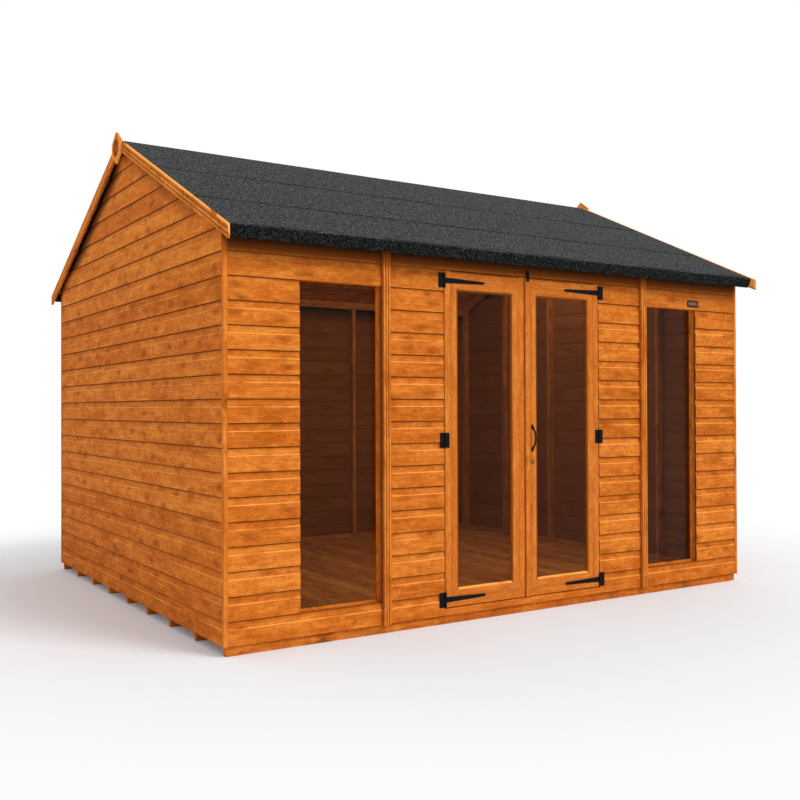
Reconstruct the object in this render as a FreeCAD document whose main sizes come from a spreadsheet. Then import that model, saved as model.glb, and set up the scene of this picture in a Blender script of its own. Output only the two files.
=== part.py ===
import FreeCAD, Part
import os
import re
import Sketcher

# Timber summerhouse, 12 ft by 10 ft, with double glazed doors between two tall windows.
# The row's origin is on the ground under the middle of the building. +X runs along the front
# to the right, the front faces -Y, and +Z is up. All sizes are in millimetres.

SIZES = {
    # outline of the boarded walls
    "wall_width": 3656,
    "wall_depth": 3036,
    "over_door": 139,
    "roof_rise": 711,
    "board_lift": 2,
    "board_thick": 14,
    # floor
    "bearer_high": 44,
    "bearer_thick": 28,
    "bearer_count": 9,
    "deck_thick": 12,
    # wall framing
    "frame_wide": 28,
    "frame_deep": 44,
    "back_bays": 6,
    "gable_bays": 5,
    # trims on the walls
    "trim_wide": 20,
    "trim_proud": 2,
    "strip_wide": 46,
    "strip_proud": 20,
    "reed_deep": 5,
    # windows
    "door_pier": 393.5,
    "window_wide": 468,
    "window_drop": 117,
    "window_lap": 15,
    "under_window": 78.5,
    "window_bead": 9,
    "bead_wide": 12,
    "glass_thick": 4,
    "window_recess": 32,
    # doorway and leaves
    "door_wide": 1137,
    "leaf_high": 1807,
    "leaf_gap": 5,
    "leaf_lift": 6,
    "leaf_thick": 34,
    "meeting_shift": 8,
    "meeting_gap": 9,
    "stile_wide": 82,
    "top_rail": 95,
    "bottom_rail": 87,
    "leaf_glass_recess": 16,
    "stop_wide": 10,
    "stop_thick": 16,
    "meeting_strip_wide": 32,
    "meeting_strip_thick": 6,
    "meeting_strip_lap": 2,
    # ironmongery
    "hinge_high": 80,
    "hinge_metal": 2.5,
    "hinge_plate_wide": 33,
    "strap_long": 265,
    "strap_root": 30,
    "strap_tip": 14,
    "butt_wide": 25,
    "knuckle_radius": 5,
    "pin_radius": 2.5,
    "pin_clearance": 0.08,
    "knuckle_gap": 0.5,
    "hinge_from_head": 52,
    "hinge_from_foot": 42,
    "hinge_above_middle": -7.5,
    "handle_from_edge": 50,
    "handle_long": 158,
    "handle_proud": 36,
    "handle_radius": 5,
    "handle_foot_long": 30,
    "handle_foot_wide": 16,
    "handle_foot_thick": 3,
    "lock_below_handle": 135,
    "lock_radius": 14,
    "lock_thick": 3,
    "barrel_radius": 8,
    "barrel_thick": 2,
    "keyhole_wide": 2,
    "keyhole_high": 8,
    "bar_wide": 18,
    "bar_high": 60,
    "bar_thick": 6,
    "bar_above_head": 34,
    # roof
    "roof_board": 12,
    "felt_thick": 3,
    "eaves_reach": 100,
    "gable_reach": 24,
    "ridge_gap": 0.5,
    "batten_wide": 28,
    "batten_deep": 44,
    "drip_long": 62,
    "barge_thick": 14,
    "barge_wide": 61,
    "barge_proud": 5,
    "barge_reach": 136,
    "groove_wide": 6,
    "groove_deep": 3,
    "finial_high": 190,
    "finial_wide": 164,
    "finial_side": 72,
    "finial_thick": 14,
    "finial_below_ridge": 38,
    "rosette_radius": 48,
    "rosette_deep": 5,
}

doc = FreeCAD.newDocument("Summerhouse")
sheet = doc.addObject("Spreadsheet::Sheet", "Sizes")
for row, (alias, number) in enumerate(SIZES.items(), start=1):
    sheet.set("A%d" % row, alias)
    sheet.set("B%d" % row, str(number))
    sheet.setAlias("B%d" % row, alias)
doc.recompute()


def full(expression):
    """Put the sheet's name before each of its aliases."""
    def name(match):
        word = match.group(0)
        return "Sizes." + word if word in SIZES else word
    return re.sub(r"[a-z][a-z_]*[a-z]", name, str(expression))


def value(expression):
    """Number that an expression has now."""
    return float(sheet.evalExpression(full(expression)))


def bind(thing, prop, expression):
    """Tie a property to the sheet."""
    thing.setExpression(prop, full(expression))


# Places that several pieces share, worked out from the driving sizes.
FACE = "(wall_depth / 2)"
SIDE = "(wall_width / 2)"
FRAME_FACE = f"({FACE} - board_thick)"
FRAME_BACK = f"({FACE} - board_thick - frame_deep)"
FRAME_SIDE = f"({SIDE} - board_thick)"
FRAME_IN = f"({SIDE} - board_thick - frame_deep)"
BOARD_BASE = "(bearer_high + board_lift)"
DECK_TOP = "(bearer_high + deck_thick)"
STUD_FOOT = f"({DECK_TOP} + frame_wide)"
LEAF_FOOT = f"({STUD_FOOT} + leaf_lift)"
LEAF_HEAD = f"({LEAF_FOOT} + leaf_high)"
DOOR_HEAD = f"({LEAF_HEAD} + leaf_gap)"
EAVES = f"({DOOR_HEAD} + over_door)"
RIDGE = f"({EAVES} + roof_rise)"
STUD_HEAD = f"({EAVES} - frame_wide)"
WINDOW_INNER = "(door_wide / 2 + door_pier)"
WINDOW_OUTER = f"({WINDOW_INNER} + window_wide)"
WINDOW_SILL = f"({STUD_FOOT} + under_window)"
WINDOW_HEAD = f"({DOOR_HEAD} - window_drop)"
WINDOW_TOP = f"({WINDOW_HEAD} + window_lap)"
SLOPE = "(roof_rise / (wall_depth / 2))"
STRETCH = f"sqrt(1 + {SLOPE} * {SLOPE})"
LEAF_OUTER = "(door_wide / 2 - leaf_gap)"
PIVOT = "(door_wide / 2 - leaf_gap / 2)"
HINGE_HEIGHTS = {
    "top": f"({LEAF_HEAD} - hinge_from_head)",
    "middle": f"(({LEAF_FOOT} + {LEAF_HEAD}) / 2 + hinge_above_middle)",
    "bottom": f"({LEAF_FOOT} + hinge_from_foot)",
}
HANDLE_MIDDLE = HINGE_HEIGHTS["middle"]
LEFT_MEET = "(meeting_shift + meeting_gap / 2)"
RIGHT_MEET = "(meeting_shift - meeting_gap / 2)"


def under(y):
    """Height of the roof boards' underside at a distance y from the middle, front or back."""
    return f"({RIDGE} - {SLOPE} * ({y}))"


def bar(name, x, y, z, size_x, size_y, size_z):
    """A squared timber or sheet: its low corner and its three sizes."""
    box = doc.addObject("Part::Box", name)
    for prop, size in (("Length", size_x), ("Width", size_y), ("Height", size_z)):
        bind(box, prop, size)
    for axis, place in (("x", x), ("y", y), ("z", z)):
        bind(box, "Placement.Base." + axis, place)
    return box


def origin_plane(body, role):
    """One of a body's own origin planes."""
    return [plane for plane in body.Origin.OriginFeatures if plane.Role == role][0]


def outline(sketch, points):
    """Closed outline of straight lines, each corner tied to the sheet. A sketch may hold several."""
    first = sketch.GeometryCount
    corners = [FreeCAD.Vector(value(x), value(y), 0) for x, y in points]
    count = len(corners)
    for i in range(count):
        sketch.addGeometry(Part.LineSegment(corners[i], corners[(i + 1) % count]), False)
    for i in range(count):
        sketch.addConstraint(Sketcher.Constraint("Coincident", first + i, 2, first + (i + 1) % count, 1))
    for i, (x, y) in enumerate(points):
        for kind, place, corner in (("DistanceX", x, corners[i].x), ("DistanceY", y, corners[i].y)):
            number = sketch.addConstraint(Sketcher.Constraint(kind, -1, 1, first + i, 1, corner))
            bind(sketch, "Constraints[%d]" % number, place)


def prism(name, role, points, length, start=(0, 0, 0), reverse=False):
    """Body padded from a closed outline on one of its origin planes, then set in its place."""
    body = doc.addObject("PartDesign::Body", name)
    sketch = body.newObject("Sketcher::SketchObject", name + "_outline")
    sketch.AttachmentSupport = [(origin_plane(body, role), "")]
    sketch.MapMode = "FlatFace"
    outline(sketch, points)
    pad = body.newObject("PartDesign::Pad", name + "_pad")
    pad.Profile = sketch
    pad.Reversed = reverse
    bind(pad, "Length", length)
    for axis, place in zip("xyz", start):
        bind(body, "Placement.Base." + axis, place)
    return body


def along_x(name, points, length, start):
    """Prism whose outline is in Y and Z and which runs in +X from start."""
    return prism(name, "YZ_Plane", points, length, (start, 0, 0))


def along_z(name, points, length, start):
    """Prism whose outline is in X and Y and which runs up from start."""
    return prism(name, "XY_Plane", points, length, (0, 0, start))


def facing_front(name, points, thickness, back):
    """Prism whose outline is in X and Z, with its back face at y = back and its front towards -Y."""
    return prism(name, "XZ_Plane", points, thickness, (0, back, 0))


def rectangle(low_x, low_y, high_x, high_y):
    """Corners of an upright rectangle."""
    return [(low_x, low_y), (high_x, low_y), (high_x, high_y), (low_x, high_y)]


def flipped(points):
    """The same outline mirrored in its first coordinate, still counter-clockwise."""
    return [(f"-({x})", y) for x, y in reversed(points)]


NODES = []


def node(label, *pieces):
    """Name a sub-part. Several pieces that don't touch are held as one compound."""
    if len(pieces) == 1:
        part = pieces[0]
    else:
        part = doc.addObject("Part::Compound", label)
        part.Links = list(pieces)
    part.Label = label
    NODES.append(part)


def both(make):
    """The left and the right piece of a pair: make gets a name's ending and a sign for x."""
    return [make("left", -1), make("right", 1)]


def span(sign, inner, outer):
    """Low end in x of a piece that lies between two distances from the middle."""
    return f"({inner})" if sign > 0 else f"(-({outer}))"


def build_floor():
    """Bearers along the building with the deck on them."""
    width = f"2 * {FRAME_SIDE}"
    pitch = f"((2 * {FRAME_FACE} - bearer_thick) / (bearer_count - 1))"
    count = int(SIZES["bearer_count"])
    bearers = []
    for i in range(count):
        bearers.append(bar("bearer_%d" % i, f"-{FRAME_SIDE}", f"-{FRAME_FACE} + {i} * {pitch}", 0,
                           width, "bearer_thick", "bearer_high"))
    node("floor_bearers", *bearers)
    node("floor_deck", bar("deck", f"-{FRAME_SIDE}", f"-{FRAME_FACE}", "bearer_high",
                           width, f"2 * {FRAME_FACE}", "deck_thick"))


def front_slab(name, sign, inner, outer, low, high):
    """Flat stretch of the front's boarding between two distances from the middle."""
    return bar(name, span(sign, inner, outer), f"-{FACE}", low,
               f"({outer}) - ({inner})", "board_thick", f"({high}) - ({low})")


def build_boarding():
    """Boarded skins of the four walls, with the windows and the doorway left open."""
    end = f"({SIDE} - trim_wide)"
    top = EAVES
    piers = both(lambda side, s: front_slab("end_pier_" + side, s, WINDOW_OUTER, end, BOARD_BASE, top))
    piers += both(lambda side, s: front_slab("door_pier_" + side, s, "door_wide / 2", WINDOW_INNER,
                                             BOARD_BASE, top))
    node("front_boards_piers", *piers)
    panels = both(lambda side, s: front_slab("under_window_" + side, s, WINDOW_INNER, WINDOW_OUTER,
                                             BOARD_BASE, WINDOW_SILL))
    panels += both(lambda side, s: front_slab("over_window_" + side, s, WINDOW_INNER, WINDOW_OUTER,
                                              WINDOW_HEAD, top))
    node("front_boards_windows", *panels)
    node("front_boards_over_doors", bar("over_doors", "-door_wide / 2", f"-{FACE}", DOOR_HEAD,
                                        "door_wide", "board_thick", f"{top} - {DOOR_HEAD}"))
    node("door_sill", bar("sill", "-door_wide / 2", f"-{FACE}", BOARD_BASE,
                          "door_wide", "board_thick", f"{STUD_FOOT} - {BOARD_BASE}"))
    node("back_boards", bar("back_skin", f"-{end}", FRAME_FACE, BOARD_BASE,
                            f"2 * {end}", "board_thick", f"{top} - {BOARD_BASE}"))
    edge = f"({FACE} - trim_wide)"
    gable = [(f"-{edge}", BOARD_BASE), (edge, BOARD_BASE), (edge, under(edge)),
             (0, RIDGE), (f"-{edge}", under(edge))]
    for label, start in (("left_gable_boards", f"-{SIDE}"), ("right_gable_boards", FRAME_SIDE)):
        node(label, along_x(label, gable, "board_thick", start))


def build_trims():
    """Angle trims on the corners and reeded strips over the joints of the front's panels."""
    def corner(name, sx, sy):
        def place(x, y):
            return (f"{sx} * ({SIDE} - ({x}))", f"{sy} * ({FACE} - ({y}))")
        points = [place("-trim_proud", "-trim_proud"), place("trim_wide", "-trim_proud"),
                  place("trim_wide", "board_thick"), place("board_thick", "board_thick"),
                  place("board_thick", "trim_wide"), place("-trim_proud", "trim_wide")]
        top = under(f"{FACE} + trim_proud")
        return along_z(name, points, f"{top} - {BOARD_BASE}", BOARD_BASE)
    node("corner_trims", corner("trim_front_left", -1, -1), corner("trim_front_right", 1, -1),
         corner("trim_back_left", -1, 1), corner("trim_back_right", 1, 1))

    def strip(side, sign):
        low = span(sign, f"{WINDOW_INNER} - strip_wide", WINDOW_INNER)
        third = "strip_wide / 3"
        face = f"(-{FACE} - strip_proud)"
        points = [(low, f"-{FACE}"), (low, f"{face} + reed_deep")]
        for i in range(3):
            points.append((f"{low} + {third} * {i} + {third} / 4", face))
            points.append((f"{low} + {third} * {i} + 3 * {third} / 4", face))
            points.append((f"{low} + {third} * {i + 1}", f"{face} + reed_deep"))
        points.append((f"{low} + strip_wide", f"-{FACE}"))
        top = under(f"{FACE} + strip_proud")
        return along_z("strip_" + side, points, f"{top} - {BOARD_BASE}", BOARD_BASE)
    node("cover_strips", *both(strip))


def build_framing():
    """Sole plates, studs, top plates and rafters of the four wall frames."""
    width = f"2 * {FRAME_SIDE}"
    depth = f"2 * {FRAME_BACK}"
    node("sole_plates_front_back",
         bar("sole_front", f"-{FRAME_SIDE}", f"-{FRAME_FACE}", DECK_TOP, width, "frame_deep", "frame_wide"),
         bar("sole_back", f"-{FRAME_SIDE}", FRAME_BACK, DECK_TOP, width, "frame_deep", "frame_wide"))
    node("sole_plates_gables",
         bar("sole_left", f"-{FRAME_SIDE}", f"-{FRAME_BACK}", DECK_TOP, "frame_deep", depth, "frame_wide"),
         bar("sole_right", FRAME_IN, f"-{FRAME_BACK}", DECK_TOP, "frame_deep", depth, "frame_wide"))

    def stud(name, low_x, low_y):
        return bar(name, low_x, low_y, STUD_FOOT, "frame_wide", "frame_deep", f"{STUD_HEAD} - {STUD_FOOT}")
    studs = []
    for place, inner in (("corner", f"{FRAME_SIDE} - frame_wide"), ("window_outer", WINDOW_OUTER),
                         ("window_inner", f"{WINDOW_INNER} - frame_wide"), ("door", "door_wide / 2")):
        studs += both(lambda side, s: stud(f"stud_{place}_{side}", span(s, inner, f"{inner} + frame_wide"),
                                           f"-{FRAME_FACE}"))
    node("front_studs", *studs)
    backs = both(lambda side, s: stud("back_corner_" + side,
                                      span(s, f"{FRAME_SIDE} - frame_wide", FRAME_SIDE), FRAME_BACK))
    for i in range(1, int(SIZES["back_bays"])):
        middle = f"({i} / back_bays - 0.5) * {width}"
        backs.append(stud("back_stud_%d" % i, f"{middle} - frame_wide / 2", FRAME_BACK))
    node("back_studs", *backs)

    def plate(name, mirror):
        points = [(f"-{FRAME_FACE}", STUD_HEAD), (f"-{FRAME_BACK}", STUD_HEAD),
                  (f"-{FRAME_BACK}", under(FRAME_BACK)), (f"-{FRAME_FACE}", under(FRAME_FACE))]
        return along_x(name, flipped(points) if mirror else points, width, f"-{FRAME_SIDE}")
    node("top_plates_front_back", plate("plate_front", False), plate("plate_back", True))

    drop = f"(frame_wide * {STRETCH})"

    def rafter(name, start, mirror):
        foot, head = under(FRAME_BACK), under("ridge_gap")
        points = [(f"-{FRAME_BACK}", f"{foot} - {drop}"), ("-ridge_gap", f"{head} - {drop}"),
                  ("-ridge_gap", head), (f"-{FRAME_BACK}", foot)]
        return along_x(name, flipped(points) if mirror else points, "frame_deep", start)
    node("gable_rafters", *[rafter(f"rafter_{side}_{end}", start, mirror)
                            for side, start in (("left", f"-{FRAME_SIDE}"), ("right", FRAME_IN))
                            for end, mirror in (("front", False), ("back", True))])

    def gable_stud(name, start, low, high):
        near = low if value(low) > 0 else f"-({low})"
        far = high if value(high) > 0 else f"-({high})"
        points = [(low, STUD_FOOT), (high, STUD_FOOT),
                  (high, f"{under(far)} - {drop}"), (low, f"{under(near)} - {drop}")]
        return along_x(name, points, "frame_deep", start)
    uprights = []
    for side, start in (("left", f"-{FRAME_SIDE}"), ("right", FRAME_IN)):
        uprights.append(gable_stud(f"gable_{side}_front", start, f"-{FRAME_BACK}",
                                   f"-{FRAME_BACK} + frame_wide"))
        uprights.append(gable_stud(f"gable_{side}_back", start, f"{FRAME_BACK} - frame_wide", FRAME_BACK))
        for i in range(1, int(SIZES["gable_bays"])):
            low = f"({i} / gable_bays - 0.5) * 2 * {FRAME_BACK} - frame_wide / 2"
            uprights.append(gable_stud(f"gable_{side}_{i}", start, low, f"{low} + frame_wide"))
    node("gable_studs", *uprights)


def ring(name, low_x, low_z, high_x, high_z, wide, back, bevel):
    """Glazing bead round a pane: a mitred frame with its inner front edge planed to a bevel."""
    body = facing_front(name, rectangle(low_x, low_z, high_x, high_z), "bead_wide", back)
    doc.recompute()
    hole = body.newObject("Sketcher::SketchObject", name + "_sight")
    hole.AttachmentSupport = [(origin_plane(body, "XZ_Plane"), "")]
    hole.MapMode = "FlatFace"
    outline(hole, rectangle(f"({low_x}) + {wide}", f"({low_z}) + {wide}",
                            f"({high_x}) - {wide}", f"({high_z}) - {wide}"))
    pocket = body.newObject("PartDesign::Pocket", name + "_pocket")
    pocket.Profile = hole
    pocket.Type = "ThroughAll"
    pocket.Midplane = True
    doc.recompute()
    front = -value("bead_wide")
    inner_low = value(low_x) + value(wide)
    inner_high = value(high_x) - value(wide)
    edges = []
    for i, edge in enumerate(pocket.Shape.Edges, start=1):
        box = edge.BoundBox
        inside = box.XMin > inner_low - 0.1 and box.XMax < inner_high + 0.1
        if inside and abs(box.YMax - front) < 0.1 and abs(box.YMin - front) < 0.1:
            edges.append("Edge%d" % i)
    chamfer = body.newObject("PartDesign::Chamfer", name + "_bevel")
    chamfer.Base = (pocket, edges)
    bind(chamfer, "Size", bevel)
    return body


def build_openings():
    """Rails, glass and beads of the windows, and the head and stops of the doorway.

    The boards over a window hang down in front of its frame by window_lap.
    """
    rails = []
    for place, low in (("sill", f"{WINDOW_SILL} - frame_wide"), ("head", WINDOW_TOP)):
        rails += both(lambda side, s: bar(f"rail_{place}_{side}", span(s, WINDOW_INNER, WINDOW_OUTER),
                                          f"-{FRAME_FACE}", low, f"{WINDOW_OUTER} - {WINDOW_INNER}",
                                          "frame_deep", "frame_wide"))
    rails.append(bar("rail_door_head", "-door_wide / 2", f"-{FRAME_FACE}", DOOR_HEAD,
                     "door_wide", "frame_deep", "frame_wide"))
    node("opening_rails", *rails)
    glass_face = f"(-{FACE} + window_recess + bead_wide)"
    node("window_glass", *both(lambda side, s: bar(
        "pane_" + side, span(s, WINDOW_INNER, WINDOW_OUTER), glass_face, WINDOW_SILL,
        f"{WINDOW_OUTER} - {WINDOW_INNER}", "glass_thick", f"{WINDOW_TOP} - {WINDOW_SILL}")))
    node("window_beads", *both(lambda side, s: ring(
        "bead_" + side, span(s, WINDOW_INNER, WINDOW_OUTER), WINDOW_SILL,
        f"{span(s, WINDOW_INNER, WINDOW_OUTER)} + window_wide", WINDOW_TOP,
        "window_bead", glass_face, "window_bead / 3")))
    stop_face = f"(-{FACE} + leaf_thick + leaf_gap)"
    node("door_stops", *both(lambda side, s: bar(
        "stop_" + side, span(s, "door_wide / 2 - stop_wide", "door_wide / 2"), stop_face,
        STUD_FOOT, "stop_wide", "stop_thick", f"{DOOR_HEAD} - {STUD_FOOT}")))


def sloped(low, high, near, far, mirror=False):
    """Outline of a board on the front slope.

    low and high are its distances above the boards' underside, square to the slope, and near and
    far its distances from the middle, level. Its ends are cut square to the slope, except that an
    end at the middle is cut upright.
    """
    def place(distance, level):
        if distance == "0":
            return ("0", f"{RIDGE} + ({level}) * {STRETCH}")
        return (f"-(({distance}) + ({level}) * {SLOPE} / {STRETCH})",
                f"{under(distance)} + ({level}) / {STRETCH}")
    points = [place(far, low), place(near, low), place(near, high), place(far, high)]
    return flipped(points) if mirror else points


def build_roof():
    """Boarded slopes, their battens, the felt with its folded drips, bargeboards and finials."""
    run = f"({FACE} + eaves_reach)"
    length = "wall_width + 2 * gable_reach"
    start = f"-({SIDE} + gable_reach)"
    for side, mirror in (("front", False), ("back", True)):
        node("roof_boards_" + side, along_x("roof_boards_" + side,
                                            sloped("0", "roof_board", "0", run, mirror), length, start))
        node("felt_" + side, along_x("felt_" + side,
                                     sloped("roof_board", "roof_board + felt_thick", "0", run, mirror),
                                     length, start))
    inset = f"batten_wide / {STRETCH}"
    drips = []
    eaves = []
    for side, mirror in (("front", False), ("back", True)):
        fold = sloped("roof_board + felt_thick - drip_long", "roof_board + felt_thick",
                      run, f"{run} + felt_thick / {STRETCH}", mirror)
        drips.append(along_x("drip_" + side, fold, length, start))
        batten = sloped("-batten_deep", "0", f"{run} - {inset}", run, mirror)
        eaves.append(along_x("eaves_batten_" + side, batten, length, start))
    node("felt_drips", *drips)
    node("eaves_battens", *eaves)
    purlins = []
    for place, near in (("middle", "wall_depth / 4"), ("ridge", "batten_wide")):
        for side, mirror in (("front", False), ("back", True)):
            purlins.append(along_x(f"purlin_{place}_{side}",
                                   sloped("-batten_deep", "0", near, f"{near} + {inset}", mirror),
                                   f"2 * {FRAME_IN}", f"-{FRAME_IN}"))
    node("roof_purlins", *purlins)

    crest = "(roof_board + felt_thick + barge_proud)"

    def barge(name, begin, outward, mirror):
        reach = f"({FACE} + barge_reach)"
        top = f"{crest} * {STRETCH}"
        deep = f"(barge_wide * {STRETCH})"
        foot, head = f"{under(reach)} + {top}", f"{RIDGE} + {top}"
        points = [(f"-{reach}", f"{foot} - {deep}"), ("-ridge_gap", f"{head} - {deep}"),
                  ("-ridge_gap", head), (f"-{reach}", foot)]
        body = along_x(name, flipped(points) if mirror else points, "barge_thick", begin)
        doc.recompute()
        cut = body.newObject("Sketcher::SketchObject", name + "_grooves")
        cut.AttachmentSupport = [(origin_plane(body, "YZ_Plane"), "")]
        cut.MapMode = "FlatFace"
        if outward > 0:
            bind(cut, "AttachmentOffset.Base.z", "barge_thick - groove_deep")
        doc.recompute()
        for share in ("0.25", "0.68"):
            low = f"{top} - {deep} * {share} - groove_wide / 2"
            high = f"{top} - {deep} * {share} + groove_wide / 2"
            groove = [(f"-{reach}", f"{under(reach)} + {low}"), ("-ridge_gap", f"{RIDGE} + {low}"),
                      ("-ridge_gap", f"{RIDGE} + {high}"), (f"-{reach}", f"{under(reach)} + {high}")]
            outline(cut, flipped(groove) if mirror else groove)
        before = body.Shape.Volume
        pocket = body.newObject("PartDesign::Pocket", name + "_pocket")
        pocket.Profile = cut
        pocket.Reversed = True
        bind(pocket, "Length", "groove_deep")
        doc.recompute()
        if body.Shape.Volume > before - 1:
            raise RuntimeError("the grooves of " + name + " cut nothing")
        return body
    outer = f"({SIDE} + gable_reach)"
    for side, mirror in (("front", False), ("back", True)):
        node(side + "_bargeboards",
             barge(f"barge_left_{side}", f"-({outer} + barge_thick)", -1, mirror),
             barge(f"barge_right_{side}", outer, 1, mirror))

    half = "finial_wide / 2"
    plate = [("0", "-finial_high / 2"), (half, "-finial_side / 2"), (half, "finial_side / 2"),
             ("0", "finial_high / 2"), (f"-{half}", "finial_side / 2"), (f"-{half}", "-finial_side / 2")]

    def finial(side, sign):
        begin = f"{outer} + barge_thick" if sign > 0 else f"-({outer} + barge_thick + finial_thick)"
        middle = f"{RIDGE} - finial_below_ridge"
        body = prism("finial_" + side, "YZ_Plane", plate, "finial_thick", (begin, 0, middle))
        doc.recompute()
        cut = body.newObject("Sketcher::SketchObject", f"finial_{side}_circle")
        cut.AttachmentSupport = [(origin_plane(body, "YZ_Plane"), "")]
        cut.MapMode = "FlatFace"
        if sign > 0:
            bind(cut, "AttachmentOffset.Base.z", "finial_thick - rosette_deep")
        circle = Part.Circle(FreeCAD.Vector(0, 0, 0), FreeCAD.Vector(0, 0, 1), value("rosette_radius"))
        cut.addGeometry(circle, False)
        cut.addConstraint(Sketcher.Constraint("Coincident", 0, 3, -1, 1))
        number = cut.addConstraint(Sketcher.Constraint("Radius", 0, value("rosette_radius")))
        bind(cut, "Constraints[%d]" % number, "rosette_radius")
        before = body.Shape.Volume
        pocket = body.newObject("PartDesign::Pocket", f"finial_{side}_pocket")
        pocket.Profile = cut
        pocket.Reversed = True
        bind(pocket, "Length", "rosette_deep")
        doc.recompute()
        if body.Shape.Volume > before - 1:
            raise RuntimeError("the rosette of the finial cut nothing")
        return body
    node("finials", *both(finial))


def post(name, sign, low, high, radius):
    """Round piece on a leaf's hinge line, between two heights."""
    cylinder = doc.addObject("Part::Cylinder", name)
    bind(cylinder, "Radius", radius)
    bind(cylinder, "Height", f"({high}) - ({low})")
    bind(cylinder, "Placement.Base.x", f"{sign} * {PIVOT}")
    bind(cylinder, "Placement.Base.y", f"-{FACE} - knuckle_radius")
    bind(cylinder, "Placement.Base.z", low)
    return cylinder


def disc(name, centre_x, front, centre_z, radius, thick):
    """Round plate that faces the front, with its front face at y = front."""
    cylinder = doc.addObject("Part::Cylinder", name)
    bind(cylinder, "Radius", radius)
    bind(cylinder, "Height", thick)
    cylinder.Placement.Rotation = FreeCAD.Rotation(FreeCAD.Vector(1, 0, 0), -90)
    for axis, place in (("x", centre_x), ("y", front), ("z", centre_z)):
        bind(cylinder, "Placement.Base." + axis, place)
    return cylinder


def fused(name, *pieces):
    """Pieces welded or forged as one."""
    join = doc.addObject("Part::MultiFuse", name)
    join.Shapes = list(pieces)
    return join


HINGE_EDGE = "(knuckle_radius + knuckle_gap)"
METAL_FACE = f"(-{FACE} - hinge_metal)"


def thirds(middle):
    """Heights where a hinge's three knuckles begin and end."""
    low = f"({middle} - hinge_high / 2)"
    return [low, f"({low} + hinge_high / 3)", f"({low} + 2 * hinge_high / 3)", f"({low} + hinge_high)"]


def post_hinge(name, sign, middle):
    """Plate that is screwed to the wall, with its two knuckles and the pin."""
    z = thirds(middle)
    near = f"({PIVOT} + {HINGE_EDGE})"
    width = "butt_wide" if middle == HINGE_HEIGHTS["middle"] else "hinge_plate_wide"
    pieces = [bar(name + "_plate", span(sign, near, f"{near} + {width}"), METAL_FACE, z[0],
                  width, "hinge_metal", "hinge_high"),
              post(name + "_pin", sign, z[0], z[3], "pin_radius")]
    for i, (low, high) in enumerate(((z[0], f"{z[1]} - knuckle_gap"), (f"{z[2]} + knuckle_gap", z[3]))):
        pieces.append(post(f"{name}_knuckle_{i}", sign, low, high, "knuckle_radius"))
        pieces.append(bar(f"{name}_web_{i}", span(sign, PIVOT, near), METAL_FACE, low,
                          HINGE_EDGE, "hinge_metal", f"{high} - {low}"))
    return fused(name, *pieces)


def leaf_hinge(name, sign, middle):
    """Strap or plate on the leaf, with the knuckle that turns on the pin."""
    z = thirds(middle)
    edge = f"({PIVOT} - {HINGE_EDGE})"
    pieces = [post(name + "_knuckle", sign, z[1], z[2], "knuckle_radius"),
              bar(name + "_web", span(sign, edge, PIVOT), METAL_FACE, z[1],
                  HINGE_EDGE, "hinge_metal", "hinge_high / 3")]
    if middle == HINGE_HEIGHTS["middle"]:
        pieces.append(bar(name + "_plate", span(sign, f"{edge} - butt_wide", edge), METAL_FACE, z[0],
                          "butt_wide", "hinge_metal", "hinge_high"))
    else:
        tip = f"({edge} - strap_long + strap_tip / 2)"
        strap = [(tip, f"{middle} - strap_tip / 2"), (edge, f"{middle} - strap_root / 2"),
                 (edge, f"{middle} + strap_root / 2"), (tip, f"{middle} + strap_tip / 2")]
        pieces.append(facing_front(name + "_strap", strap if sign > 0 else flipped(strap),
                                   "hinge_metal", f"-{FACE}"))
        pieces.append(disc(name + "_tip", f"{sign} * {tip}", METAL_FACE, middle,
                           "strap_tip / 2", "hinge_metal"))
    hinge = doc.addObject("Part::Cut", name)
    hinge.Base = fused(name + "_solid", *pieces)
    hinge.Tool = post(name + "_hole", sign, f"{z[1]} - 1", f"{z[2]} + 1", "pin_radius + pin_clearance")
    return hinge


def build_leaf(side, sign, meet):
    """One glazed leaf: stiles, rails, pane, bead and straps. meet is its meeting edge's place in x."""
    low, high = (f"(-{LEAF_OUTER})", f"({meet})") if sign < 0 else (f"({meet})", LEAF_OUTER)
    front = f"(-{FACE})"
    tall = f"({LEAF_HEAD} - {LEAF_FOOT})"
    inner_low = f"({low} + stile_wide)"
    inner_wide = f"({high} - {low} - 2 * stile_wide)"
    sight_low = f"({LEAF_FOOT} + bottom_rail)"
    sight_high = f"({LEAF_HEAD} - top_rail)"
    node(f"leaf_{side}_stiles",
         bar(f"stile_{side}_low", low, front, LEAF_FOOT, "stile_wide", "leaf_thick", tall),
         bar(f"stile_{side}_high", f"{high} - stile_wide", front, LEAF_FOOT, "stile_wide", "leaf_thick",
             tall))
    node(f"leaf_{side}_rails",
         bar(f"rail_{side}_bottom", inner_low, front, LEAF_FOOT, inner_wide, "leaf_thick", "bottom_rail"),
         bar(f"rail_{side}_top", inner_low, front, sight_high, inner_wide, "leaf_thick", "top_rail"))
    glass_face = f"({front} + leaf_glass_recess)"
    node(f"leaf_{side}_glass", bar(f"pane_leaf_{side}", inner_low, glass_face, sight_low,
                                   inner_wide, "glass_thick", f"{sight_high} - {sight_low}"))
    node(f"leaf_{side}_bead", ring(f"bead_leaf_{side}", inner_low, sight_low, f"{inner_low} + {inner_wide}",
                                   sight_high, "bead_wide", glass_face, "bead_wide * 3 / 4"))
    node(f"leaf_{side}_hinges", *[leaf_hinge(f"{place}_{side}_leaf", sign, height)
                                    for place, height in HINGE_HEIGHTS.items()])


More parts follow.
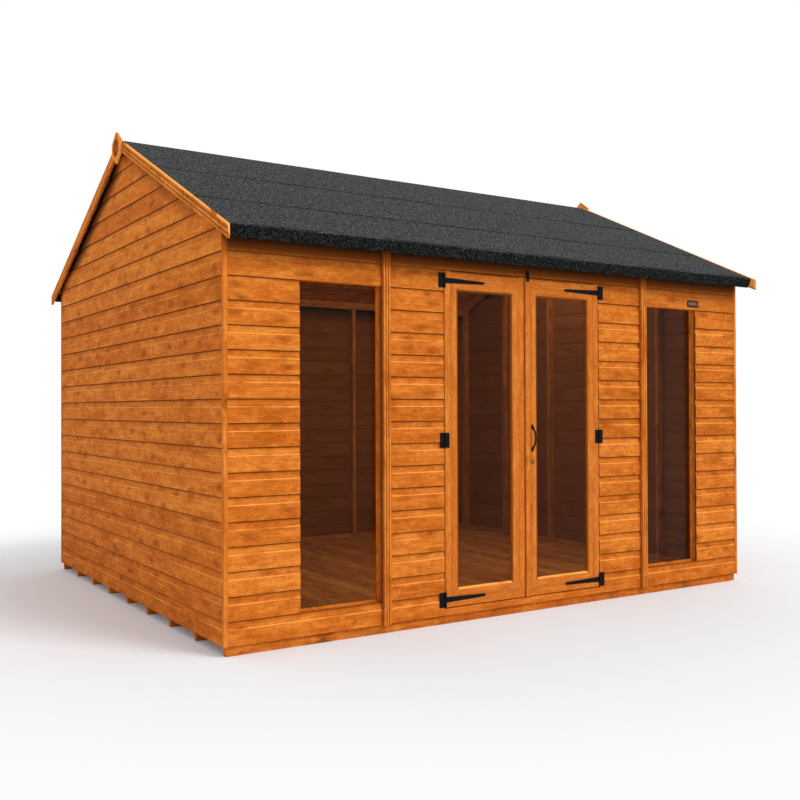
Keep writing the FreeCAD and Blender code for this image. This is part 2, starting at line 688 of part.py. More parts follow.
def build_doors():
    """Both leaves, the right one's meeting strip and fittings, and the hinge plates on the wall."""
    build_leaf("left", -1, f"-{LEFT_MEET}")
    build_leaf("right", 1, f"-{RIGHT_MEET}")
    node("hinge_plates", *[post_hinge(f"{place}_{side}_post", sign, height)
                           for side, sign in (("left", -1), ("right", 1))
                           for place, height in HINGE_HEIGHTS.items()])
    strip_low = f"(-{RIGHT_MEET} - meeting_strip_lap)"
    strip_face = f"(-{FACE} - meeting_strip_thick)"
    node("meeting_strip", bar("strip_meeting", strip_low, strip_face, LEAF_FOOT, "meeting_strip_wide",
                              "meeting_strip_thick", f"{LEAF_HEAD} - {LEAF_FOOT}"))
    node("head_bar", bar("bar_head", f"{strip_low} + (meeting_strip_wide - bar_wide) / 2",
                         f"{strip_face} - bar_thick", f"{DOOR_HEAD} + bar_above_head - bar_high",
                         "bar_wide", "bar_thick", "bar_high"))
    centre = f"(-{RIGHT_MEET} + handle_from_edge)"
    lock_height = f"{HANDLE_MIDDLE} - lock_below_handle"
    barrel_face = f"-{FACE} - lock_thick - barrel_thick"
    lock = doc.addObject("Part::Cut", "lock_whole")
    rose = disc("lock_rose", centre, f"-{FACE} - lock_thick", lock_height, "lock_radius", "lock_thick")
    barrel = disc("lock_barrel", centre, barrel_face, lock_height, "barrel_radius", "barrel_thick")
    lock.Base = fused("lock_fused", rose, barrel)
    lock.Tool = bar("keyhole", f"{centre} - keyhole_wide / 2", f"{barrel_face} - 1",
                    f"{lock_height} - keyhole_high / 2", "keyhole_wide", "barrel_thick + 1", "keyhole_high")
    node("door_lock", lock)

    # The bow is a round bar bent to an arc, so it is a circle turned about the arc's centre.
    half = "((handle_long - handle_foot_long) / 2)"
    rise = "(handle_proud - handle_radius)"
    bend = f"(({half} * {half} + {rise} * {rise}) / (2 * {rise}))"
    bow = doc.addObject("PartDesign::Body", "handle_bow")
    circle = bow.newObject("Sketcher::SketchObject", "handle_section")
    circle.AttachmentSupport = [(origin_plane(bow, "XY_Plane"), "")]
    circle.MapMode = "FlatFace"
    centre_y = -value(bend)
    bar_end = Part.Circle(FreeCAD.Vector(0, centre_y, 0), FreeCAD.Vector(0, 0, 1), value("handle_radius"))
    circle.addGeometry(bar_end, False)
    circle.addConstraint(Sketcher.Constraint("DistanceX", -1, 1, 0, 3, 0))
    across = circle.addConstraint(Sketcher.Constraint("DistanceY", -1, 1, 0, 3, centre_y))
    bind(circle, "Constraints[%d]" % across, f"-{bend}")
    radius = circle.addConstraint(Sketcher.Constraint("Radius", 0, value("handle_radius")))
    bind(circle, "Constraints[%d]" % radius, "handle_radius")
    turn = bow.newObject("PartDesign::Revolution", "handle_bend")
    turn.Profile = circle
    turn.ReferenceAxis = (circle, ["H_Axis"])
    turn.Midplane = True
    bind(turn, "Angle", f"2 * asin({half} / {bend})")
    for axis, place in (("x", centre), ("y", f"-{FACE} - {rise} + {bend}"), ("z", HANDLE_MIDDLE)):
        bind(bow, "Placement.Base." + axis, place)

    # Each foot is a pointed leaf, the part that two round plates set side by side have in common.
    tall, wide = "(handle_foot_long / 2)", "(handle_foot_wide / 2)"
    leaf_radius = f"(({tall} * {tall} + {wide} * {wide}) / (2 * {wide}))"
    feet = []
    for end, way in (("bottom", -1), ("top", 1)):
        plates = [disc(f"handle_foot_{end}_{side}", f"{centre} + {sign} * ({leaf_radius} - {wide})",
                       f"-{FACE} - handle_foot_thick", f"{HANDLE_MIDDLE} + {way} * {half}",
                       leaf_radius, "handle_foot_thick") for side, sign in (("left", -1), ("right", 1))]
        foot = doc.addObject("Part::MultiCommon", f"handle_foot_{end}")
        foot.Shapes = plates
        feet.append(foot)
    clear = doc.addObject("Part::Cut", "handle_whole")
    clear.Base = fused("handle_fused", bow, *feet)
    clear.Tool = bar("handle_trim", f"{centre} - 50", f"-{FACE}", f"{HANDLE_MIDDLE} - handle_long",
                     100, 50, "2 * handle_long")
    node("door_handle", clear)


build_floor()
build_boarding()
build_trims()
build_framing()
build_openings()
build_doors()
build_roof()
doc.recompute()

for item in doc.Objects:
    if "Invalid" in item.State or "Error" in item.State:
        raise RuntimeError("failed to build: " + item.Label)
for part in NODES:
    if part.Shape.isNull() or not part.Shape.isValid():
        raise RuntimeError("no valid shape: " + part.Label)

os.makedirs("parts", exist_ok=True)
for part in NODES:
    part.Shape.exportStep("parts/" + part.Label + ".step")
    print(part.Label, len(part.Shape.Solids), round(part.Shape.Volume / 1e6, 3), "litres")
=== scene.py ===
import logging
import math
from dataclasses import dataclass
from enum import Enum, IntEnum

import bpy
import numpy as np
from bpy.types import Material, Node, NodeSocket, NodeTree
from mathutils import Matrix, Vector


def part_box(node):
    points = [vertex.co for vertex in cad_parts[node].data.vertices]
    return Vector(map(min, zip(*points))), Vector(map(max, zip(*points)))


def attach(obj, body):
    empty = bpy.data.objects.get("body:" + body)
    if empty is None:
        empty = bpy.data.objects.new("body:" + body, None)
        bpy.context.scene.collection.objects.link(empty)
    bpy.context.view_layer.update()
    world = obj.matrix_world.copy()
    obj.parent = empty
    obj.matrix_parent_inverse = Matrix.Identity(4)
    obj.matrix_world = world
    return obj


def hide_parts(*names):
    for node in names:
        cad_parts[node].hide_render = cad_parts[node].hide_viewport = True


# Looks of the timber summerhouse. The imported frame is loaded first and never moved. Lengths are in metres,
# +X runs along the front, the doors face -Y, and +Z is up from the ground.
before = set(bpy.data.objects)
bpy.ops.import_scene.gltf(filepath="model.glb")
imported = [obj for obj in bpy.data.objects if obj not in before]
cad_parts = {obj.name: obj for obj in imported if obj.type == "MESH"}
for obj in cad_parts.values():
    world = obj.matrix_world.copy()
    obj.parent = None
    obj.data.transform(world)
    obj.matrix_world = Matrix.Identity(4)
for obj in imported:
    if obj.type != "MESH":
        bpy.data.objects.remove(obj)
LOG = logging.getLogger("summerhouse")
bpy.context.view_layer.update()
X, Y, Z = np.eye(3)


class Half(IntEnum):
    """A half of the building, as its sign on an axis."""

    @property
    def word(self) -> str:
        """Name of this half."""
        return self.name.lower()


class Side(Half):
    """The left and the right half, seen from the front, on the x axis."""

    LEFT = -1
    RIGHT = 1


class Way(Half):
    """The front and the rear half, on the y axis."""

    FRONT = -1
    BACK = 1


class Run(Enum):
    """Which way the grain of a frame timber runs, as the turn that brings it onto x."""

    ALONG_X = (0.0, 0.0, 0.0)
    ALONG_Y = (0.0, 0.0, -math.pi / 2)
    ALONG_Z = (0.0, math.pi / 2, 0.0)
    OWN = None


@dataclass(frozen=True)
class House:
    """Sizes that the sub-assemblies share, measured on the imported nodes."""

    half_width: float
    half_depth: float
    eaves: float
    ridge: float
    roof_end: float
    door_half: float
    door_head: float
    window_in: float
    window_out: float
    window_low: float
    window_high: float
    board_base: float
    board: float = 0.014
    trim: float = 0.020
    # How far below the eaves the painted shade on the trims reaches.
    eaves_shade_reach: float = 0.16

    @property
    def slope(self) -> float:
        """Fall of the roof for each metre of run."""
        return (self.ridge - self.eaves) / self.half_depth

    def under(self, y: float) -> float:
        """Height of the roof boards' underside at a distance y from the ridge line."""
        return self.ridge - self.slope * abs(y)


def measured() -> House:
    """Read the shared sizes from the nodes' boxes.

    Returns:
        The house's sizes.
    """
    gable_low, gable_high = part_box("left_gable_boards")
    back_low, back_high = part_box("back_boards")
    roof_low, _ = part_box("roof_boards_front")
    head_low, head_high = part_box("front_boards_over_doors")
    pane_low, pane_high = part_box("window_glass")
    strip_low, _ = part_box("cover_strips")
    return House(half_width=-gable_low.x, half_depth=back_high.y, eaves=back_high.z, ridge=gable_high.z,
                 roof_end=-roof_low.x, door_half=head_high.x, door_head=head_low.z, window_in=-strip_low.x,
                 window_out=pane_high.x, window_low=pane_low.z, window_high=pane_high.z, board_base=back_low.z)


HOUSE = measured()


# Shapes ---------------------------------------------------------------------------------------------------------


def rounded(wide: float, thick: float, radius: float) -> np.ndarray:
    """Outline of a squared timber with eased arrises.

    Four quarter circles, one at each corner, joined by straight sides; the low corner is at the origin.

    Args:
        wide: size along the first axis.
        thick: size along the second axis.
        radius: radius of each arris.

    Returns:
        Array (16, 2) with four points on each arris, counter-clockwise.
    """
    angle = np.radians(np.linspace(0, 90, 4) + np.array([[180], [270], [0], [90]]))
    centre = np.array([[radius, radius], [wide - radius, radius], [wide - radius, thick - radius],
                       [radius, thick - radius]])
    return (centre[:, None] + radius * np.stack([np.cos(angle), np.sin(angle)], -1)).reshape(-1, 2)


def disc(centre: np.ndarray, radii: np.ndarray, level: np.ndarray, points: int) -> np.ndarray:
    """Circles round one centre, as points along the level direction and upwards.

    Args:
        centre: the circles' middle.
        radii: array of their radii.
        level: the level direction that they lie along.
        points: points on each circle.

    Returns:
        Array (circles, points, 3).
    """
    turn = np.linspace(0, 2 * np.pi, points, endpoint=False)[:, None]
    return centre + radii[:, None, None] * (np.cos(turn) * level + np.sin(turn) * Z)


class Piece:
    """A mesh that grows from closed runs of timber or sheet, with the wood's own coordinates on it."""

    def __init__(self, name: str, seed: int) -> None:
        """Start an empty piece.

        Args:
            name: the object's name.
            seed: start of this piece's own run of chance, so that each render is the same.
        """
        self.name = name
        self.chance = np.random.default_rng(seed)
        self.layers: dict[str, list[np.ndarray]] = {"place": [], "grain": [], "tone": [], "marks_and_painted_light": []}
        self.faces: list[list[int]] = []
        self.count = 0

    def shell(self, rows: np.ndarray, grain: np.ndarray, marks_and_painted_light: np.ndarray | float = 0.0,
              tone: float | None = None) -> None:
        """Add a closed body from rings of points, with a flat cap at each end.

        Points i, j and i + 1, j + 1 of the grid make each face, and the last ring point joins the first. The
        faces are turned over when six times the enclosed volume, the sum of a . (b x c), comes out negative.

        Args:
            rows: array (rings, points in a ring, 3).
            grain: the wood's coordinates of the same shape: along, across and through the timber.
            marks_and_painted_light: staining gathered in joints and painted shade, from 0 to 1, one number or one for
                each
            point. Over 1 it is deeper painted shade, and under 0 a painted highlight along an edge.
            tone: lightness of this timber from 0 to 1, or None for a chance one.
        """
        rings, around = rows.shape[:2]
        index = np.arange(rings * around).reshape(rings, around)
        quads = np.stack([index[:-1], index[1:], np.roll(index[1:], -1, 1), np.roll(index[:-1], -1, 1)], -1)
        quads = quads.reshape(-1, 4)
        flat = rows.reshape(-1, 3)
        a, b, c, d = (flat[quads[:, k]] for k in range(4))
        volume = np.sum(a * np.cross(b, c)) + np.sum(a * np.cross(c, d))
        caps = [index[0], index[-1][::-1]]
        for loop in caps:
            corner = flat[loop]
            volume += np.sum(corner[0] * np.cross(corner[1:-1], corner[2:]))
        turn = -1 if volume < 0 else 1
        self.faces += [(face[::turn] + self.count).tolist() for face in (*quads, *caps)]
        shade = self.chance.random() if tone is None else tone
        for name, values in (("place", flat), ("grain", np.asarray(grain, float).reshape(-1, 3)),
                             ("tone", np.full(rings * around, shade)),
                             ("marks_and_painted_light", np.broadcast_to(np.asarray(marks_and_painted_light, float), (rings, around)).reshape(-1))):
            self.layers[name].append(values)
        self.count += rings * around

    def timber(self, outline: np.ndarray, start: np.ndarray, end: np.ndarray, side: np.ndarray, face: np.ndarray,
               cut: tuple = (0.0, 0.0), marks_and_painted_light: np.ndarray | float = 0.0, tone: float | None = None,
               offset: np.ndarray | None = None, ends: tuple = (0.0, 0.0), fade: float = 0.002) -> None:
        """Add a timber: an outline carried along a straight line.

        A point of it is start + u (end - start) + s side + t face, where (s, t) is on the outline, and u runs
        from 0 to 1 but for what the cuts add at its two ends.

        Args:
            outline: array (points, 2) of s and t.
            start: where the line starts.
            end: where it ends.
            side: direction of s.
            face: direction of t.
            cut: extra length at the start and at the end, a number or one for each outline point.
            marks_and_painted_light: as for shell, one number or one for each outline point.
            tone: as for shell.
            offset: where this timber was in its tree, or None for a chance place.
            ends: how dark the start and the end are: staining at butt joints, painted shade under eaves and
                bargeboards.
            fade: length over which that darkening fades out.
        """
        start, end = np.asarray(start, float), np.asarray(end, float)
        length = float(np.linalg.norm(end - start))
        across = outline[:, :1] * np.asarray(side, float) + outline[:, 1:] * np.asarray(face, float)
        first = -np.broadcast_to(np.asarray(cut[0], float), len(outline))
        last = length + np.broadcast_to(np.asarray(cut[1], float), len(outline))
        steps = np.array([0.0, 0.5, 1.0]) if max(ends) > 0 else np.array([0.0])
        inward = steps[:, None] * np.minimum(fade, 0.45 * (last - first))
        reach = np.concatenate([first + inward, last - inward[::-1]])
        rows = start + reach[..., None] * (end - start) / length + across
        place = self.chance.uniform(0, 40, 3) if offset is None else offset
        wood = np.stack(np.broadcast_arrays(reach, *outline.T), -1) + place
        stain_and_painted_light = np.broadcast_to(np.asarray(marks_and_painted_light, float), reach.shape)
        # Darker towards the ends: staining at butt joints, and painted shade under the eaves and bargeboards.
        darkening = np.concatenate([ends[0] * (1 - steps), ends[1] * (1 - steps[::-1])])[:, None]
        self.shell(rows, wood, np.where(darkening > 0, np.maximum(stain_and_painted_light, darkening), stain_and_painted_light), tone)

    def finish(self, material: Material, *nodes: str, slot: str = "stained_softwood", body: str = "building",
               sharp: float = 32.0) -> None:
        """Make the object, dress it, and set it on its body in place of the CAD nodes it stands for.

        Args:
            material: its finish.
            nodes: CAD nodes that it replaces.
            slot: the record's material slot; not used.
            body: the CAD body that it rides on.
            sharp: angle in degrees past which an edge is shown sharp.
        """
        mesh = bpy.data.meshes.new(self.name)
        layers = {name: np.concatenate(rows).astype(np.float32) for name, rows in self.layers.items()}
        mesh.from_pydata(layers.pop("place"), [], self.faces)
        for name, values in layers.items():
            kind, field = ("FLOAT_VECTOR", "vector") if values.ndim == 2 else ("FLOAT", "value")
            mesh.attributes.new(name, kind, "POINT").data.foreach_set(field, values.ravel())
        mesh.polygons.foreach_set("use_smooth", np.ones(len(mesh.polygons), bool))
        mesh.set_sharp_from_angle(angle=math.radians(sharp))
        mesh.materials.append(material)
        mesh.validate()
        made = bpy.data.objects.new(self.name, mesh)
        bpy.context.scene.collection.objects.link(made)
        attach(made, body)
        if nodes:
            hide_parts(*nodes)
        LOG.info("%s: %d faces on %s", self.name, len(mesh.polygons), body)


# Finishes -------------------------------------------------------------------------------------------------------


def linear(colour: str) -> tuple[float, float, float, float]:
    """Turn an sRGB hex colour into the linear one that shaders take.

    Args:
        colour: such as "#cf7229".

    Returns:
        Red, green, blue and an alpha of 1.
    """
    parts = np.array([int(colour[i:i + 2], 16) for i in (1, 3, 5)]) / 255
    return (*np.where(parts <= 0.04045, parts / 12.92, ((parts + 0.055) / 1.055) ** 2.4).tolist(), 1.0)


def add_node(tree: NodeTree, kind: str, inputs: dict | None = None, **settings) -> Node:
    """Add a node with its settings, values and links.

    Args:
        tree: the node tree.
        kind: the node's type name, without "ShaderNode".
        inputs: input name or number to a value, or to an output socket to link.
        settings: properties of the node.

    Returns:
        The new node.
    """
    node = tree.nodes.new("ShaderNode" + kind)
    for name, setting in settings.items():
        setattr(node, name, setting)
    return feed(tree, node, inputs or {})


def feed(tree: NodeTree, node: Node, inputs: dict) -> Node:
    """Set a node's inputs to values, or link them to the outputs that are given.

    Args:
        tree: the node tree.
        node: the node.
        inputs: as for add_node; a hex colour is turned linear.

    Returns:
        The same node.
    """
    for name, given in inputs.items():
        if isinstance(given, NodeSocket):
            tree.links.new(given, node.inputs[name])
        else:
            node.inputs[name].default_value = linear(given) if isinstance(given, str) else given
    return node


class Recipe:
    """Node tree of one material, with a short call for each kind of node that the finishes share."""

    def __init__(self, name: str) -> None:
        """Start the material.

        Args:
            name: the material's name.
        """
        self.material = bpy.data.materials.new(name)
        self.material.use_nodes = True
        self.tree = self.material.node_tree
        self.shader = self.tree.nodes["Principled BSDF"]

    def stored(self, name: str, output: str = "Fac") -> NodeSocket:
        """Layer of the mesh, as the pieces store it."""
        return add_node(self.tree, "Attribute", attribute_name=name).outputs[output]

    def spot(self) -> NodeSocket:
        """Place in metres."""
        return add_node(self.tree, "TexCoord").outputs["Object"]

    def scaled(self, place: NodeSocket, scale: tuple, turn: tuple = (0.0, 0.0, 0.0)) -> NodeSocket:
        """Coordinates stretched along each axis and turned."""
        return add_node(self.tree, "Mapping", {"Vector": place, "Scale": scale, "Rotation": turn}).outputs[0]

    def noise(self, place: NodeSocket, scale: float = 1.0, detail: float = 3.0, **inputs: float) -> NodeSocket:
        """Noise from 0 to 1."""
        return add_node(self.tree, "TexNoise", {"Vector": place, "Scale": scale, "Detail": detail,
                                                **inputs}).outputs["Fac"]

    def math(self, operation: str, *inputs: NodeSocket | float, clamp: bool = False) -> NodeSocket:
        """What a Math node makes of one to three numbers."""
        return add_node(self.tree, "Math", dict(enumerate(inputs)), operation=operation, use_clamp=clamp).outputs[0]

    def span(self, value: NodeSocket, low: float, high: float, to_low: float = 0.0,
             to_high: float = 1.0) -> NodeSocket:
        """Number brought from one range to another, and held at its ends."""
        return add_node(self.tree, "MapRange", {"Value": value, "From Min": low, "From Max": high,
                                                "To Min": to_low, "To Max": to_high}).outputs[0]

    def blend(self, share: NodeSocket | float, first: NodeSocket, second: NodeSocket) -> NodeSocket:
        """Number between two others."""
        return add_node(self.tree, "Mix", {0: share, 2: first, 3: second}, data_type="FLOAT").outputs[0]

    def mix(self, share: NodeSocket, first: NodeSocket | str, second: NodeSocket | str) -> NodeSocket:
        """Colour between two others."""
        return add_node(self.tree, "Mix", {0: share, 6: first, 7: second}, data_type="RGBA").outputs[2]

    def ramp(self, share: NodeSocket, *stops: tuple[float, str]) -> NodeSocket:
        """Colour ramp.

        Args:
            share: what drives it.
            stops: places from 0 to 1 with their hex colours.

        Returns:
            The colour.
        """
        node = add_node(self.tree, "ValToRGB", {0: share})
        band = node.color_ramp.elements
        while len(band) < len(stops):
            band.new(0.5)
        for element, (place, colour) in zip(band, stops):
            element.position, element.color = place, linear(colour)
        return node.outputs["Color"]

    def done(self, colour: NodeSocket | str, roughness: NodeSocket | float, specular: float = 0.5,
             bump: tuple | None = None, **inputs: float) -> Material:
        """Set up the shader.

        Args:
            colour: base colour.
            roughness: the shader's roughness.
            specular: its specular level.
            bump: what the bump follows, its strength and its height in metres, or None for a smooth face.
            inputs: its other inputs, with _ for a space.

        Returns:
            The material.
        """
        given = {name.replace("_", " "): value for name, value in inputs.items()}
        if bump:
            ripples = add_node(self.tree, "Bump", dict(zip(("Height", "Strength", "Distance"), bump)))
            given["Normal"] = ripples.outputs[0]
        feed(self.tree, self.shader, {"Base Color": colour, "Roughness": roughness, "Specular IOR Level": specular,
                                      **given})
        return self.material


@dataclass(frozen=True)
class Softwood:
    """Softwood boards and battens, planed or sawn, with growth rings, fine grain and small knots.

    The rings lie 11 mm apart on a flat-sawn face. The fibres are about 1 mm wide, drawn at 4 mm so that they
    show. Two in five patches of 0.22 by 0.10 m have a knot of about 16 by 35 mm, fewer in clear timber.
    """

    name: str
    light: str = "#e58b36"
    middle: str = "#cf6f24"
    dark: str = "#b25a16"
    knot: str = "#8e4612"
    # Colours of joints and painted shade, of deeper painted shade, and of the painted highlight along arrises.
    joint: str = "#763c13"
    deep: str = "#2c1507"
    edge: str = "#fda850"
    spread: float = 0.08
    clear: float = 0.60
    roughness: float = 0.7
    run: Run = Run.OWN

    def build(self) -> Material:
        """Make the material.

        Returns:
            The material, which follows the stored grain, or the object's axes where the run says so.
        """
        made = Recipe(self.name)
        if self.run is Run.OWN:
            wood, tone = made.stored("grain", "Vector"), made.stored("tone")
        else:
            wood = made.scaled(made.spot(), (1.0, 1.0, 1.0), self.run.value)
            tone = made.noise(made.scaled(wood, (0.02, 3.0, 3.0)), detail=0.0)
        # Each noise is stretched along, across and through the wood, in patterns to the metre.
        fibre = made.noise(made.scaled(wood, (4.0, 230.0, 230.0)), Roughness=0.6)
        streak = made.noise(made.scaled(wood, (3.0, 60.0, 60.0)), Roughness=0.55)
        mottle = made.noise(made.scaled(wood, (14.0, 40.0, 40.0)), detail=4.0, Roughness=0.60, Distortion=1.2)
        flame = made.noise(made.scaled(wood, (34.0, 9.0, 9.0)), Distortion=1.6)
        cloud = made.noise(made.scaled(wood, (4.5, 14.0, 14.0)), Distortion=0.6)
        ring_gap = 0.011
        rings = add_node(made.tree, "TexWave", {
            "Vector": made.scaled(wood, (0.10, 1.0, 0.6)), "Scale": 2 * math.pi / (20 * ring_gap),
            "Distortion": 7.0, "Detail": 2.0, "Detail Scale": 0.35}, bands_direction="Y").outputs["Fac"]
        figure, total = streak, 0.15
        for source, weight in ((mottle, 0.39), (fibre, 0.03), (flame, 0.10), (cloud, 0.29), (rings, 0.04),
                               (tone, self.spread)):
            total += weight
            figure = made.blend(weight / total, figure, source)
        colour = made.ramp(figure, (0.40, self.dark), (0.50, self.middle), (0.605, self.light))

        patches = add_node(made.tree, "TexVoronoi", {
            "Vector": made.scaled(wood, (1 / 0.22, 1 / 0.10, 0.0)), "Scale": 1.0, "Randomness": 0.9,
        }, voronoi_dimensions="2D")
        draw = add_node(made.tree, "SeparateColor", {0: patches.outputs["Color"]}).outputs[0]
        chosen = made.math("GREATER_THAN", draw, self.clear)
        away = made.math("MULTIPLY_ADD", mottle, 0.22, patches.outputs["Distance"])
        knot = made.math("MAXIMUM", made.span(away, 0.19, 0.13, 0.0, 0.8), made.span(away, 0.40, 0.16, 0.0, 0.55))
        colour = made.mix(made.math("MULTIPLY", knot, chosen), colour, self.knot)

        if self.run is Run.OWN:
            # Staining in joints and painted shade darken towards the colour of joints, past 1 towards the deeper
            # shade colour; under 0 a painted highlight turns, in patches, to the edge colour.
            marks_and_painted_light = made.stored("marks_and_painted_light")
            colour = made.mix(marks_and_painted_light, colour, self.joint)
            painted_light = made.math("MULTIPLY", made.math("MULTIPLY", marks_and_painted_light, -1.0), made.span(cloud, 0.30, 0.50), clamp=True)
            colour = made.mix(painted_light, colour, self.edge)
            colour = made.mix(made.math("ADD", marks_and_painted_light, -1.0, clamp=True), colour, self.deep)
        return made.done(colour, self.roughness, 0.03, (figure, 0.12, 0.0008))


@dataclass(frozen=True)
class MineralFelt:
    """Bitumen roofing felt with pressed-in slate grains of 1 to 2 mm, drawn at 5 mm so that they show."""

    name: str
    ground: str = "#1a1c1c"
    middle: str = "#333635"
    grit: str = "#696d6b"
    darkening: str = "#0c0d0d"
    grain: float = 0.005

    def build(self) -> Material:
        """Make the material.

        Returns:
            The material.
        """
        made = Recipe(self.name)
        spot = made.spot()
        cell = add_node(made.tree, "TexVoronoi", {"Vector": spot, "Scale": 1 / self.grain}).outputs["Color"]
        grit = add_node(made.tree, "SeparateColor", {0: cell}).outputs[0]
        share = made.blend(0.35, grit, made.noise(spot, 60.0))
        colour = made.ramp(share, (0.34, self.ground), (0.60, self.middle), (0.82, self.grit))
        return made.done(made.mix(made.stored("marks_and_painted_light"), colour, self.darkening), 0.9, 0.08, (grit, 0.5, 0.0012))


@dataclass(frozen=True)
class PowderCoat:
    """Steel with a black powder coat: an even satin skin with the faint orange peel of the oven."""

    name: str
    colour: str = "#0a0c0d"
    rubbed: str = "#1a1e20"
    roughness: float = 0.45

    def build(self) -> Material:
        """Make the material.

        Returns:
            The material.
        """
        made = Recipe(self.name)
        spot = made.spot()
        peel, rub = made.noise(spot, 900.0, 2.0), made.noise(spot, 60.0)
        rough = made.span(rub, 0.0, 1.0, self.roughness - 0.08, self.roughness + 0.12)
        return made.done(made.mix(rub, self.colour, self.rubbed), rough, 0.04, (peel, 0.2, 0.0002))


@dataclass(frozen=True)
class CastPlate:
    """Blackened cast plate whose sunk middle has been rubbed bare, so that it shows a dull bronze."""

    name: str
    black: str = "#15181a"
    bronze: tuple = ((0.35, "#6d4522"), (0.65, "#94622f"))

    def build(self) -> Material:
        """Make the material.

        Returns:
            The material.
        """
        made = Recipe(self.name)
        cast = made.noise(made.spot(), 420.0, 2.0)
        colour = made.mix(made.stored("marks_and_painted_light"), self.black, made.ramp(cast, *self.bronze))
        return made.done(colour, 0.55, 0.2, (cast, 0.3, 0.0003))


@dataclass(frozen=True)
class DulledBrass:
    """Cast brass that has gone brown in the open: metal with tarnish in patches."""

    name: str
    bright: str = "#b48a4e"
    tarnish: str = "#5d4128"

    def build(self) -> Material:
        """Make the material.

        Returns:
            The material.
        """
        made = Recipe(self.name)
        colour = made.ramp(made.noise(made.spot(), 160.0), (0.35, self.tarnish), (0.70, self.bright))
        return made.done(colour, 0.4, Metallic=1.0)


@dataclass(frozen=True)
class FloatGlass:
    """Clear float glass, 4 mm thick, with its faint green.

    The bending at its two faces cancels, so the index is set low: the reflections stay faint and the room
    behind shows dark and warm.
    """

    name: str
    tint: str = "#e9ede4"
    index: float = 1.13

    def build(self) -> Material:
        """Make the material.

        Returns:
            The material.
        """
        made = Recipe(self.name)
        ripple = made.noise(made.spot(), 2.5, 1.0)
        return made.done(self.tint, 0.0, bump=(ripple, 0.02, 0.002), Transmission_Weight=1.0, IOR=self.index)


class Finishes:
    """All finishes of the summerhouse, made once."""

    def __init__(self) -> None:
        """Make each material."""
        bare = {"light": "#dd8a3c", "middle": "#c8702c", "dark": "#a9571b", "knot": "#7c3f14", "joint": "#4f270c"}
        self.stained = Softwood("spirit_stained_planed_softwood").build()
        self.joinery = Softwood("spirit_stained_clear_joinery_softwood", light="#df8636", middle="#cf7229",
                                dark="#b96322", spread=0.03, clear=0.93).build()
        self.stained_z = Softwood("spirit_stained_upright_softwood", run=Run.ALONG_Z).build()
        self.planed_x, self.planed_y, self.planed_z = (
            Softwood(f"dipped_sawn_softwood_{run.name.lower()}", run=run, **bare).build()
            for run in (Run.ALONG_X, Run.ALONG_Y, Run.ALONG_Z))
        self.planed_own = Softwood("dipped_planed_softwood", spread=0.12, **bare).build()
        self.treated = Softwood("pressure_treated_sawn_softwood", light="#e08a38", middle="#c96b24",
                                dark="#a65517", knot="#7c3f12", roughness=0.75).build()
        self.felt = MineralFelt("mineral_surfaced_bitumen_felt").build()
        # The folded felt edges are near-black, partly in their own colour and partly as painted shade, since they
        # face sideways.
        self.drip = MineralFelt("folded_felt_edge_with_painted_shade", ground="#070808", middle="#151717",
                                grit="#3d403f", grain=0.0042).build()
        self.steel = PowderCoat("black_powder_coated_steel").build()
        self.plate = CastPlate("blackened_cast_plate").build()
        self.brass = DulledBrass("dulled_cast_brass").build()
        self.glass = FloatGlass("clear_float_glass").build()


def dress(material: Material, *nodes: str) -> None:
    """Give CAD nodes that stay in sight their finish.

    Args:
        material: the finish.
        nodes: the CAD nodes' names.
    """
    for node in nodes:
        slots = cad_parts[node].data.materials
        slots.clear()
        slots.append(material)


# Sub-assemblies -------------------------------------------------------------------------------------------------


